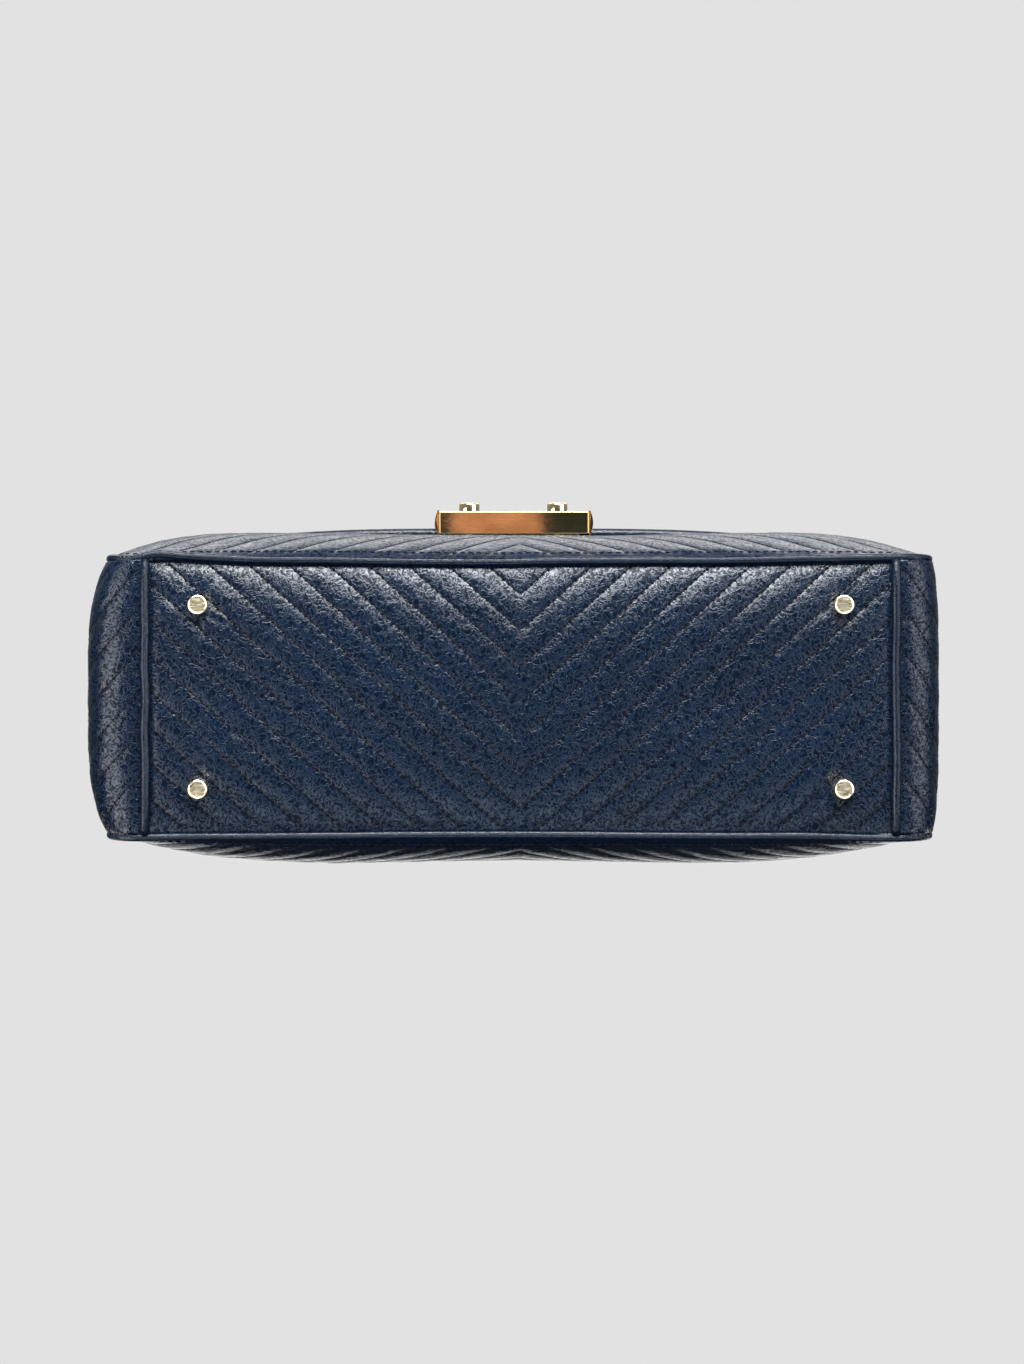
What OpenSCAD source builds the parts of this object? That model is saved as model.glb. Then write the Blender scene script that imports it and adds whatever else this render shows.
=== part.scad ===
// Satchel bag in quilted leather. A flap folds over the mouth and is held by a press lock on the front.
// The bag stands on its feet, with its front towards -Y and the surface it stands on at Z = 0.
// All sizes are in millimetres.

/* [Body] */
// Width of the body at its base
base_w = 346; // [326:2:360]
// Width of the body at its mouth
mouth_w = 318; // [312:2:330]
// Depth of the body at its base, from the front seam to the back seam
base_d = 117; // [105:1:124]
// Depth of the body at its mouth
mouth_d = 94; // [88:2:102]
// Height of the mouth above the surface the bag stands on
body_h = 235; // [220:5:250]
// Radius of the lower corners of the front and back panels
corner_r = 15; // [12:1:15]
// How far the front and back panels swell at their fullest
panel_swell = 16; // [10:1:20]
// How far the end gussets swell at their fullest
gusset_swell = 6; // [5:1:10]
// Thickness of the padded, quilted leather
leather_t = 3; // [2.5:0.5:3.5]
// Distance from each end of the base to the piped seam of the bottom panel
seam_inset = 18; // [17:1:20]

/* [Feet] */
// Diameter of a foot
foot_d = 8; // [7:0.5:10]
// Height of a foot below the bottom panel
foot_h = 6; // [5.5:0.5:8]
// Distance between the feet along the width
foot_pitch_x = 266; // [240:2:280]
// Distance between the feet along the depth
foot_pitch_y = 76; // [64:2:80]

/* [Flap] */
// Width of the flap without its rolled edge
flap_w = 304; // [290:2:308]
// Height of the flap's lower edge above the surface the bag stands on
flap_edge_z = 110; // [100:1:120]
// Thickness of the flap with its lining
flap_t = 4; // [3.5:0.5:4.5]
// Radius of the flap's lower corners
flap_corner_r = 48; // [30:1:60]

/* [Lock] */
// Width of the lock bar between its end caps
lock_w = 66; // [60:1:72]
// Height of the lock bar
lock_h = 22; // [21:0.5:24]
// Depth of the lock bar, from back to front
lock_d = 10; // [9.5:0.5:12]
// Diameter of a press stud
stud_d = 9; // [8:0.5:10]
// How far a press stud stands out of the lock bar
stud_proud = 4.2; // [3:0.2:5]
// Distance between the two press studs
stud_pitch = 39.2; // [36:0.4:42]

/* [Handle] */
// Distance between the two ends of the handle
handle_pitch = 140; // [120:2:150]
// Height of the handle's arch above its end tabs
handle_rise = 58; // [50:2:60]
// Diameter of the rolled grip
grip_d = 12; // [10:0.5:14]

/* [Rings] */
// Diameter of the wire of the handle rings and strap rings
wire_d = 3; // [2.5:0.5:3.5]
// Inner width of a strap ring
strap_ring_w = 19; // [17:1:22]

/* [Hidden] */

NAVY = [0.15, 0.19, 0.27];
DEEP_NAVY = [0.09, 0.12, 0.18];
GOLD = [0.85, 0.72, 0.42];
LINING = [0.55, 0.50, 0.43];
BOARD = [0.35, 0.30, 0.25];
STEEL = [0.70, 0.70, 0.70];

// Clearance between sewn pieces that lie face to face
fit = 0.2;
// Radial clearance of a pin in its hole
run_fit = 0.06;

// Shape of the body. Distances to the front and back are measured from the middle plane.
corner_z = foot_h + corner_r;
seam_x = base_w / 2 - seam_inset;
panel_skew = 0.65;
gusset_skew = 0.55;
swell_power = 3.8;

function mix(a, b, t) = a + (b - a) * t;
function unit(v) = v / norm(v);
function rise(z) = max(0, min(1, (z - foot_h) / (body_h - foot_h)));
function half_depth(z) = mix(base_d, mouth_d, rise(z)) / 2;
// Half the width of the front panel at a height, with its rounded lower corners
function side_x(z) = z < corner_z
    ? base_w / 2 - corner_r + sqrt(max(0, corner_r ^ 2 - (corner_z - z) ^ 2))
    : mix(base_w, mouth_w, (z - corner_z) / (body_h - corner_z)) / 2;
// Distance of the front panel's outer face from the middle plane
function face_y(x, z) = half_depth(z) + panel_swell * sin(180 * pow(rise(z), panel_skew))
    * (1 - pow(min(1, abs(x) / side_x(max(z, corner_z))), swell_power));

// Seams and trim
welt_r = 1.7;
piping_r = 1.8;
binding_t = 1.8;
strip_t = 3;
strip_low_z = 205;
strip_half_w = 150;

// Base and feet
shank_r = 1.5;
board_t = 2;
board_margin = 6;
washer_r = 5;
washer_t = 1;
inner_floor = foot_h + leather_t;
board_z = inner_floor + fit;
washer_z = board_z + board_t + 0.1;
shank_top = washer_z + washer_t + 0.5;
lining_t = 1;
lining_z = shank_top + 0.3;

// Flap, with its hinge along the back of the mouth
lining_share = 0.8;
flap_gap = 1.5;
flap_top_z = body_h + binding_t + 0.7;
hinge_z = flap_top_z;
hinge_y = half_depth(body_h) + strip_t + 1;
flap_rear_y = hinge_y - 1;
bend_r = 6;
bend_z = flap_top_z - bend_r;
top_crown = 2.5;
edge_r = 2;
function bend_y(x) = face_y(x, bend_z) + flap_gap - bend_r;
function flap_low(x) = flap_edge_z + flap_corner_r
    - sqrt(flap_corner_r ^ 2 - max(0, abs(x) - flap_w / 2 + flap_corner_r) ^ 2);

// Lock, with distances from the middle plane to the front
lock_z = flap_edge_z - 8;
lock_low = lock_z - lock_h / 2;
lock_high = lock_z + lock_h / 2;
lock_step = flap_edge_z - 2 * edge_r - 0.4;
strike_t = 1.2;
strike_low = lock_z - 10;
strike_high = lock_z + 2.5;
strike_half_w = lock_w / 2 - 4;
strike_back = max([for (z = [strike_low:0.5:strike_high]) face_y(0, z)]) + 0.05;
lock_back = strike_back + strike_t + 0.4;
lock_front = lock_back + lock_d;
plate_back = max([for (z = [lock_step:0.5:lock_high]) face_y(0, z)]) + flap_gap + flap_t + 0.3;
lock_chamfer = 0.7;
stud_r = stud_d / 2;
stud_seat = 1;
seat_depth = 4.4;
stem_r = 2;
stem_wall = 1.6;
stem_foot_r = 2.8;
stem_foot_t = 0.8;
slot_floor = lock_front - seat_depth - stem_wall;
slot_half_w = 3.5;
post_r = 1.8;
post_reach = 1.2;
backing_t = 1;
cap_rim = 0.4;
cap_plate = 0.8;
cap_dome = 1.2;
rivet_r = 1;
spring_wire = 0.45;
spring_turns = 3;

// Body placed so that the bag's box is centred on the origin in depth
front_reach = lock_front + stud_proud;
back_reach = max([for (z = [foot_h:1:body_h]) face_y(0, z)]);
mid_y = (front_reach - back_reach) / 2;

// Handle
wire_r = wire_d / 2;
loop_r = wire_r + 1.9;
anchor_y = (flap_rear_y - bend_y(0)) / 2;
anchor_z = flap_top_z + flap_t + top_crown + 0.05;
anchor_w = 14;
anchor_l = 34;
anchor_t = 2;
pivot_z = anchor_z + loop_r + 0.6;
handle_ring_w = 18;
handle_ring_h = 14;
tab_bar_z = pivot_z + handle_ring_h;
tab_h = 12;
grip_z = tab_bar_z + tab_h;
grip_end_r = 5;
grip_power = 2 / 2.6;

// Strap rings, on tabs at the top of the gussets
tab_top_z = body_h - 10;
tab_w = 16;
tab_l = 30;
tab_t = 2.2;
ring_drop = tab_l + 2.5;
ring_out = loop_r + 0.3;

// A closed slab between two grids of points, each a list of rows
module slab(outer, inner, flip = false) {
    rows = len(outer);
    cols = len(outer[0]);
    count = rows * cols;
    function id(side, r, c) = side * count + r * cols + c;
    function quad(a, b, c, d) = [[a, b, c], [a, c, d]];
    faces = [
        for (r = [0:rows - 2], c = [0:cols - 2])
            each quad(id(0, r, c), id(0, r + 1, c), id(0, r + 1, c + 1), id(0, r, c + 1)),
        for (r = [0:rows - 2], c = [0:cols - 2])
            each quad(id(1, r, c), id(1, r, c + 1), id(1, r + 1, c + 1), id(1, r + 1, c)),
        for (c = [0:cols - 2])
            each quad(id(0, 0, c), id(0, 0, c + 1), id(1, 0, c + 1), id(1, 0, c)),
        for (c = [0:cols - 2])
            each quad(id(0, rows - 1, c + 1), id(0, rows - 1, c), id(1, rows - 1, c), id(1, rows - 1, c + 1)),
        for (r = [0:rows - 2])
            each quad(id(0, r + 1, 0), id(0, r, 0), id(1, r, 0), id(1, r + 1, 0)),
        for (r = [0:rows - 2])
            each quad(id(0, r, cols - 1), id(0, r + 1, cols - 1), id(1, r + 1, cols - 1), id(1, r, cols - 1))
    ];
    polyhedron(
        points = [for (row = outer) each row, for (row = inner) each row],
        faces = flip ? [for (f = faces) [f[2], f[1], f[0]]] : faces
    );
}

// A closed tube along a list of [point, side direction, radius]
module tube(path, sides) {
    last = len(path) - 1;
    function along(i) = unit(path[min(i + 1, last)][0] - path[max(i - 1, 0)][0]);
    function ring(i) =
        let (t = along(i), side = path[i][1], n = unit(side - (side * t) * t), b = cross(t, n))
        [for (k = [0:sides - 1])
            let (a = 360 * k / sides) path[i][0] + path[i][2] * (cos(a) * n + sin(a) * b)];
    function id(i, k) = i * sides + k % sides;
    polyhedron(
        points = [for (i = [0:last]) each ring(i)],
        faces = [
            for (i = [0:last - 1], k = [0:sides - 1])
                each [[id(i, k), id(i + 1, k), id(i + 1, k + 1)], [id(i, k), id(i + 1, k + 1), id(i, k + 1)]],
            for (k = [1:sides - 2]) [id(0, 0), id(0, k), id(0, k + 1)],
            for (k = [1:sides - 2]) [id(last, 0), id(last, k + 1), id(last, k)]
        ]
    );
}

// Moves a piece from the body's middle plane to its place
module placed() {
    translate([0, mid_y, 0]) children();
}

// A rod from one distance in front of the middle plane to another
module front_rod(x, z, from, to, r) {
    translate([x, -from, z]) rotate([90, 0, 0]) cylinder(h = to - from, r = r, $fn = 48);
}

// A rod along X or Y, centred on a point
module x_rod(at, length, r) {
    translate(at) rotate([0, 90, 0]) cylinder(h = length, r = r, center = true, $fn = 48);
}
module y_rod(at, length, r) {
    translate(at) rotate([90, 0, 0]) cylinder(h = length, r = r, center = true, $fn = 48);
}

// Front and back panels
panel_z = concat(
    [for (a = [0:18:90]) corner_z - corner_r * cos(a)],
    [for (i = [1:9]) mix(corner_z, body_h, i / 9)]
);
function panel_grid(side, inset) = [
    for (z = panel_z) [
        for (u = [-1:1 / 8:1]) [u * side_x(z), side * (face_y(u * side_x(z), z) - inset), z]
    ]
];

module front_panel() color(NAVY) placed()
    difference() {
        slab(panel_grid(-1, 0), panel_grid(-1, leather_t));
        for (x = [-1, 1] * stud_pitch / 2)
            front_rod(x, lock_z, strike_back - leather_t - 5, strike_back + 5, post_r + run_fit);
    }

module back_panel() color(NAVY) placed()
    slab(panel_grid(1, 0), panel_grid(1, leather_t), flip = true);

// End gussets, which turn under the base as far as the piped seam
gusset_path = concat(
    [[seam_x, foot_h, 0, -1]],
    [for (a = [0:15:90])
        [base_w / 2 - corner_r + corner_r * sin(a), corner_z - corner_r * cos(a), sin(a), -cos(a)]],
    [for (i = [1:9]) [mix(base_w, mouth_w, i / 9) / 2, mix(corner_z, body_h, i / 9), 1, 0]]
);
function path_length(i) = i == 0 ? 0 : path_length(i - 1)
    + norm([gusset_path[i][0] - gusset_path[i - 1][0], gusset_path[i][1] - gusset_path[i - 1][1]]);
// The part next to the piping is flat; the swell runs from there to the mouth
gusset_lead = path_length(1);
gusset_length = path_length(len(gusset_path) - 1) - gusset_lead;
function gusset_bump(i) =
    gusset_swell * sin(180 * pow(max(0, path_length(i) - gusset_lead) / gusset_length, gusset_skew));
function gusset_grid(side, inset) = [
    for (i = [0:len(gusset_path) - 1])
        let (p = gusset_path[i], reach = half_depth(p[1]) - leather_t - fit)
        [for (v = [-1:0.25:1])
            let (out = gusset_bump(i) * (1 - v ^ 4) - inset)
            [side * (p[0] + p[2] * out), v * reach, p[1] + p[3] * out]]
];

module gusset(side) color(NAVY) placed()
    slab(gusset_grid(side, 0), gusset_grid(side, leather_t), flip = side < 0);

// Bottom panel and the stiff board on it, both pierced by the shanks of the feet
module foot_places() {
    for (x = [-1, 1] * foot_pitch_x / 2, y = [-1, 1] * foot_pitch_y / 2) translate([x, y, 0]) children();
}

module flat_base(half_w, half_d, low, thickness) {
    difference() {
        translate([-half_w, -half_d, low]) cube([2 * half_w, 2 * half_d, thickness]);
        foot_places() translate([0, 0, low - 1]) cylinder(h = thickness + 2, r = shank_r + run_fit, $fn = 48);
    }
}

module bottom_panel() color(NAVY) placed()
    flat_base(seam_x - fit, base_d / 2 - leather_t - fit, foot_h, leather_t);

module base_board() color(BOARD) placed()
    flat_base(seam_x - board_margin, base_d / 2 - leather_t - board_margin, board_z, board_t);

module foot(side_x_sign, side_y_sign) color(GOLD) placed()
    translate([side_x_sign * foot_pitch_x / 2, side_y_sign * foot_pitch_y / 2, 0])
        rotate_extrude($fn = 64) polygon([
            [0, 0], [foot_d / 2 - 0.7, 0], [foot_d / 2, 0.7], [foot_d / 2, foot_h / 2],
            [foot_d / 2 - 1.2, foot_h - 0.05], [shank_r, foot_h - 0.05], [shank_r, shank_top], [0, shank_top]
        ]);

module foot_washers() color(STEEL) placed() foot_places()
    translate([0, 0, washer_z]) difference() {
        cylinder(h = washer_t, r = washer_r, $fn = 48);
        translate([0, 0, -1]) cylinder(h = washer_t + 2, r = shank_r + run_fit, $fn = 48);
    }

// Raised seam that runs down one end of a panel, along the base and up the other end
function half_outline(out) = concat(
    [for (i = [8:-1:1]) let (z = mix(corner_z, body_h, i / 8)) [side_x(z) + out, z]],
    [for (a = [90:-15:0])
        [base_w / 2 - corner_r + (corner_r + out) * sin(a), corner_z - (corner_r + out) * cos(a)]],
    [[base_w / 6, foot_h - out]]
);
function mirrored(list) = [for (i = [len(list) - 1:-1:0]) [-list[i][0], list[i][1]]];

module welt(side) color(NAVY) placed() {
    line = concat(half_outline(welt_r + 0.05), mirrored(half_outline(welt_r + 0.05)));
    tube([for (p = line) [[p[0], side * (half_depth(p[1]) - leather_t / 2), p[1]], [0, 1, 0], welt_r]], 8);
}

// Piping in the seams between the bottom panel and the gussets
module piping(side) color(NAVY) placed()
    y_rod([side * seam_x, 0, foot_h - piping_r - 0.05], base_d - 2 * leather_t - 1, piping_r);

// Lining, a tapered bag open at the top
module tapered_block(low_w, low_d, low, high_w, high_d, high) {
    function corners(w, d, z) = [[-w, -d, z], [w, -d, z], [w, d, z], [-w, d, z]];
    polyhedron(
        points = concat(corners(low_w, low_d, low), corners(high_w, high_d, high)),
        faces = [[0, 1, 2, 3], [7, 6, 5, 4], [0, 4, 5, 1], [1, 5, 6, 2], [2, 6, 7, 3], [3, 7, 4, 0]]
    );
}

module lining() color(LINING) placed() {
    top = body_h - 2;
    low_w = side_x(lining_z) - leather_t - 1;
    high_w = mouth_w / 2 - leather_t - fit;
    low_d = half_depth(lining_z) - leather_t - fit;
    high_d = half_depth(top) - leather_t - fit;
    difference() {
        tapered_block(low_w, low_d, lining_z, high_w, high_d, top);
        tapered_block(low_w - lining_t, low_d - lining_t, lining_z + lining_t,
            high_w - lining_t, high_d - lining_t, top + 0.5);
    }
}

// Binding round the edge of the mouth
module mouth_binding() color(NAVY) placed() {
    outer = [mouth_w - 1, mouth_d - 5];
    inner = [mouth_w - 8, mouth_d - 9];
    translate([0, 0, body_h + 0.1]) linear_extrude(binding_t) difference() {
        square(outer, center = true);
        square(inner, center = true);
    }
}

// Strip that sews the flap to the back panel
function strip_grid(out) = [
    for (z = [for (i = [0:4]) mix(strip_low_z, hinge_z - 6, i / 4)])
        [for (u = [-1:1 / 6:1]) [u * strip_half_w, face_y(u * strip_half_w, z) + out, z]]
];

module flap_strip() color(NAVY) placed()
    slab(strip_grid(strip_t + 0.3), strip_grid(0.3), flip = true);

// Flap: over the mouth from the hinge, round the front bend and down the front
function flap_line(x, out) = concat(
    [for (i = [0:6])
        [x, mix(flap_rear_y, -bend_y(x), i / 6), flap_top_z + out + top_crown * sin(180 * i / 6)]],
    [for (a = [30:30:90])
        [x, -bend_y(x) - (bend_r + out) * sin(a), bend_z + (bend_r + out) * cos(a)]],
    [for (i = [1:8])
        let (z = mix(bend_z, flap_low(x), i / 8)) [x, -(face_y(x, z) + flap_gap + out), z]]
);
function flap_grid(out) =
    let (lines = [for (a = [-90:11.25:90]) flap_line(flap_w / 2 * sin(a), out)])
    [for (r = [0:len(lines[0]) - 1]) [for (line = lines) line[r]]];

module lock_rivet_places(r) {
    for (x = [-1, 1] * (lock_w / 2 - 5)) translate([x, 0, 0]) rotate([90, 0, 0])
        translate([0, lock_high - 1.9, 0]) cylinder(h = lock_front, r = r, $fn = 32);
}

module flap_layer(low, high) placed() difference() {
    slab(flap_grid(high), flap_grid(low), flip = true);
    lock_rivet_places(rivet_r + run_fit);
    anchor_rivet_holes();
}

module flap_shell() color(NAVY) flap_layer(lining_share + 0.1, flap_t);
module flap_lining() color(LINING) flap_layer(0, lining_share);

// Rolled edge round the sides and the lower edge of the flap
function edge_point(x, z) = [x, -(face_y(x, z) + flap_gap + flap_t / 2), z];
function half_edge() =
    let (out = edge_r + 0.1, x = flap_w / 2 + out, mid = flap_t / 2, low = flap_edge_z + flap_corner_r)
    concat(
        [for (i = [0:5]) [[x, mix(flap_rear_y, -bend_y(x), i / 5),
            flap_top_z + mid + top_crown * sin(180 * i / 5)], [0, 0, 1], edge_r]],
        [for (a = [30:30:90]) [[x, -bend_y(x) - (bend_r + mid) * sin(a), bend_z + (bend_r + mid) * cos(a)],
            [0, -sin(a), cos(a)], edge_r]],
        [for (i = [1:4]) [edge_point(x, mix(bend_z, low, i / 4)), [0, -1, 0], edge_r]],
        [for (a = [15:15:90]) [edge_point(flap_w / 2 - flap_corner_r + (flap_corner_r + out) * cos(a),
            low - (flap_corner_r + out) * sin(a)), [0, -1, 0], edge_r]],
        [[edge_point(flap_w / 6, flap_edge_z - out), [0, -1, 0], edge_r]]
    );

module flap_edge() color(NAVY) placed() {
    right = half_edge();
    left = [for (i = [len(right) - 1:-1:0])
        let (p = right[i][0]) [[-p[0], p[1], p[2]], right[i][1], edge_r]];
    tube(concat(right, [[edge_point(0, flap_edge_z - edge_r - 0.1), [0, -1, 0], edge_r]], left), 8);
}

// Lock bar, with a step behind it for the flap's edge, seats for the studs and slots for the strike posts
module lock_bar() color(GOLD) placed() difference() {
    c = lock_chamfer;
    rotate([90, 0, -90]) linear_extrude(lock_w, center = true) polygon([
        [lock_back, lock_low], [lock_front - c, lock_low], [lock_front, lock_low + c],
        [lock_front, lock_high - c], [lock_front - c, lock_high], [plate_back, lock_high],
        [plate_back, lock_step], [lock_back, lock_step]
    ]);
    for (x = [-1, 1] * stud_pitch / 2) {
        front_rod(x, lock_z, lock_front - seat_depth, lock_front + 1, stud_r + run_fit);
        front_rod(x, lock_z, lock_back - 1, lock_front, stem_r + run_fit);
        translate([x - slot_half_w, -slot_floor, lock_low + 3])
            cube([2 * slot_half_w, slot_floor - lock_back + 1, lock_step - lock_low - 3.4]);
    }
    lock_rivet_places(rivet_r);
}

// End caps of the lock bar: a rim and a shallow dome, with the same step behind them as the bar
module lock_cap(side) color(GOLD) placed() {
    half_d = lock_d / 2 + cap_rim;
    half_h = lock_h / 2 + cap_rim;
    dome_r = (half_d ^ 2 + cap_dome ^ 2) / (2 * cap_dome);
    start = lock_w / 2 + 0.05;
    mirror([side < 0 ? 1 : 0, 0, 0]) difference() {
        translate([start, -(lock_back + lock_front) / 2, lock_z]) {
            translate([0, -half_d, -half_h]) cube([cap_plate, 2 * half_d, 2 * half_h]);
            intersection() {
                translate([cap_plate + cap_dome - dome_r, 0, -half_h + cap_rim])
                    cylinder(h = 2 * (half_h - cap_rim), r = dome_r, $fn = 96);
                translate([cap_plate, -half_d, -half_h]) cube([2 * cap_dome, 2 * half_d, 2 * half_h]);
            }
        }
        translate([start - 1, -plate_back, lock_step]) cube([10, 10, lock_h]);
    }
}

// Rivets that fix the lock bar to the flap from inside
module lock_rivets() color(GOLD) placed()
    for (x = [-1, 1] * (lock_w / 2 - 5)) {
        inside = face_y(x, lock_high - 1.9) + flap_gap;
        front_rod(x, lock_high - 1.9, inside - 0.6, lock_front - 2, rivet_r);
        front_rod(x, lock_high - 1.9, inside - 1, inside - 0.4, 2);
    }

// Press studs, each turned in one piece with its stem and foot
module stud(side) color(GOLD) placed() {
    x = side * stud_pitch / 2;
    translate([x, -lock_front, lock_z]) rotate([90, 0, 0]) rotate_extrude($fn = 64) polygon([
        [0, stud_proud], [stud_r - 0.5, stud_proud], [stud_r, stud_proud - 0.5], [stud_r, -stud_seat],
        [stem_r, -stud_seat], [stem_r, slot_floor - lock_front - 0.05],
        [stem_foot_r, slot_floor - lock_front - 0.05],
        [stem_foot_r, slot_floor - lock_front - 0.05 - stem_foot_t],
        [0, slot_floor - lock_front - 0.05 - stem_foot_t]
    ]);
}

// Coil spring between a stud and the floor of its seat
module stud_spring(side) color(STEEL) placed() {
    steps = 10;
    low = lock_front - seat_depth + spring_wire / 2 + 0.1;
    high = lock_front - stud_seat - spring_wire / 2 - 0.1;
    r = (stem_r + stud_r) / 2;
    count = spring_turns * steps;
    tube([for (i = [0:count]) let (a = 360 * i / steps)
        [[side * stud_pitch / 2 + r * cos(a), -mix(low, high, i / count), lock_z + r * sin(a)],
            [cos(a), 0, sin(a)], spring_wire / 2]], 6);
}

// Strike on the front panel, with posts riveted through it to a plate inside
module strike_holes() {
    for (x = [-1, 1] * stud_pitch / 2)
        front_rod(x, lock_z, strike_back - leather_t - 5, strike_back + 5, post_r + run_fit);
}

module strike_plate() color(GOLD) placed() difference() {
    translate([-strike_half_w, -strike_back - strike_t, strike_low])
        cube([2 * strike_half_w, strike_t, strike_high - strike_low]);
    strike_holes();
}

module strike_backing() color(STEEL) placed() difference() {
    inner = strike_back - leather_t - 1.5;
    translate([-strike_half_w, -inner, strike_low])
        cube([2 * strike_half_w, backing_t, strike_high - strike_low]);
    strike_holes();
}

module strike_posts() color(GOLD) placed()
    for (x = [-1, 1] * stud_pitch / 2)
        front_rod(x, lock_z, strike_back - leather_t - 3, lock_back + post_reach, post_r);

// Tabs for the strap rings, lying along the slope of the gussets
function gusset_x(z) =
    let (s = (path_length(len(gusset_path) - 10) - gusset_lead + z - corner_z) / gusset_length)
    side_x(z) + gusset_swell * sin(180 * pow(s, gusset_skew));
tab_lean = atan2(gusset_x(tab_top_z - tab_l) - gusset_x(tab_top_z), tab_l);
ring_x = gusset_x(tab_top_z) + ring_out * cos(tab_lean) + ring_drop * sin(tab_lean);
ring_z = tab_top_z + ring_out * sin(tab_lean) - ring_drop * cos(tab_lean);

module on_gusset(side) {
    mirror([side < 0 ? 1 : 0, 0, 0])
        translate([gusset_x(tab_top_z), 0, tab_top_z]) rotate([0, -tab_lean, 0]) children();
}

module ring_tab(side) color(NAVY) placed() on_gusset(side) difference() {
    union() {
        translate([0.3, -tab_w / 2, -tab_l]) cube([tab_t, tab_w, tab_l]);
        y_rod([ring_out, 0, -ring_drop], tab_w, loop_r);
    }
    y_rod([ring_out, 0, -ring_drop], tab_w + 2, wire_r + run_fit);
    translate([-1, 0, -tab_l / 3]) rotate([0, 90, 0]) cylinder(h = 5, r = rivet_r + run_fit, $fn = 32);
}

module ring_tab_rivets() color(GOLD) placed()
    for (side = [-1, 1]) on_gusset(side) translate([0, 0, -tab_l / 3]) rotate([0, 90, 0])
        rotate_extrude($fn = 48) polygon([
            [0, 0.4], [rivet_r, 0.4], [rivet_r, tab_t + 0.35], [3, tab_t + 0.35], [2.6, tab_t + 1.2],
            [1.4, tab_t + 1.7], [0, tab_t + 1.8]
        ]);

// A strap ring: a straight bar in its tab and a half round below it
module strap_ring(side) color(GOLD) placed() translate([side * ring_x, 0, ring_z]) {
    bend = strap_ring_w / 2 + wire_r;
    y_rod([0, 0, 0], 2 * bend, wire_r);
    rotate([0, 90, 0]) rotate([0, 0, -90]) rotate_extrude(angle = 180, $fn = 64)
        translate([bend, 0]) circle(r = wire_r, $fn = 32);
    for (y = [-bend, bend]) translate([0, y, 0]) sphere(r = wire_r, $fn = 32);
}

// Handle anchors: a strap on the flap with a loop for the ring
module anchor_rivet_holes() {
    for (x = [-1, 1] * handle_pitch / 2, y = [-1, 1] * anchor_l / 3)
        translate([x, anchor_y + y, flap_top_z - 2]) cylinder(h = 20, r = rivet_r + run_fit, $fn = 32);
}

module handle_anchor(side) color(NAVY) placed() difference() {
    x = side * handle_pitch / 2;
    union() {
        translate([x - anchor_w / 2, anchor_y - anchor_l / 2, anchor_z]) cube([anchor_w, anchor_l, anchor_t]);
        translate([x - anchor_w / 2, anchor_y - loop_r, anchor_z]) cube([anchor_w, 2 * loop_r, loop_r + 0.6]);
        x_rod([x, anchor_y, pivot_z], anchor_w, loop_r);
    }
    x_rod([x, anchor_y, pivot_z], anchor_w + 2, wire_r + run_fit);
    anchor_rivet_holes();
}

module anchor_rivets() color(GOLD) placed()
    for (x = [-1, 1] * handle_pitch / 2, y = [-1, 1] * anchor_l / 3) translate([x, anchor_y + y, 0])
        rotate_extrude($fn = 48) polygon([
            [0, flap_top_z], [rivet_r, flap_top_z], [rivet_r, anchor_z + anchor_t + 0.05],
            [2.4, anchor_z + anchor_t + 0.05], [2, anchor_z + anchor_t + 0.8], [0, anchor_z + anchor_t + 1.2]
        ]);

module handle_backing_plates() color(STEEL) placed() difference() {
    for (x = [-1, 1] * handle_pitch / 2)
        translate([x - anchor_w / 2, anchor_y - anchor_l / 2, flap_top_z - 0.2])
            cube([anchor_w, anchor_l, 1]);
    anchor_rivet_holes();
}

// A rectangular ring from the anchor's loop to the handle's tab
module handle_ring(side) color(GOLD) placed() {
    x = side * handle_pitch / 2;
    half = handle_ring_w / 2 + wire_r;
    for (z = [pivot_z, tab_bar_z]) x_rod([x, anchor_y, z], 2 * half, wire_r);
    for (s = [-half, half]) translate([x + s, anchor_y, pivot_z]) {
        cylinder(h = handle_ring_h, r = wire_r, $fn = 48);
        for (z = [0, handle_ring_h]) translate([0, 0, z]) sphere(r = wire_r, $fn = 32);
    }
}

// Leather tab that wraps the ring and takes the end of the grip
module handle_tab(side) color(NAVY) placed() difference() {
    x = side * handle_pitch / 2;
    hull() {
        x_rod([x, anchor_y, tab_bar_z], anchor_w, loop_r);
        translate([x, anchor_y, grip_z - 1]) cylinder(h = 1, r = grip_end_r, $fn = 32);
    }
    x_rod([x, anchor_y, tab_bar_z], anchor_w + 2, wire_r + run_fit);
}

// Rolled grip, an arch that thickens from its ends to the middle
module handle_grip() color(NAVY) placed() {
    half = handle_pitch / 2;
    foot = 2.5;
    ends = [for (x = [-half, half]) [[x, anchor_y, grip_z + 0.05], [0, 1, 0], grip_end_r]];
    arch = [for (a = [180:-7.5:0])
        let (c = cos(a), s = sin(a), z = grip_z + foot + (handle_rise - foot) * pow(s, grip_power))
        [[half * sign(c) * pow(abs(c), grip_power), anchor_y, z],
            [0, 1, 0], mix(grip_d / 2, grip_end_r, pow(abs(c), 6))]];
    tube(concat([ends[0]], arch, [ends[1]]), 10);
}

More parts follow.
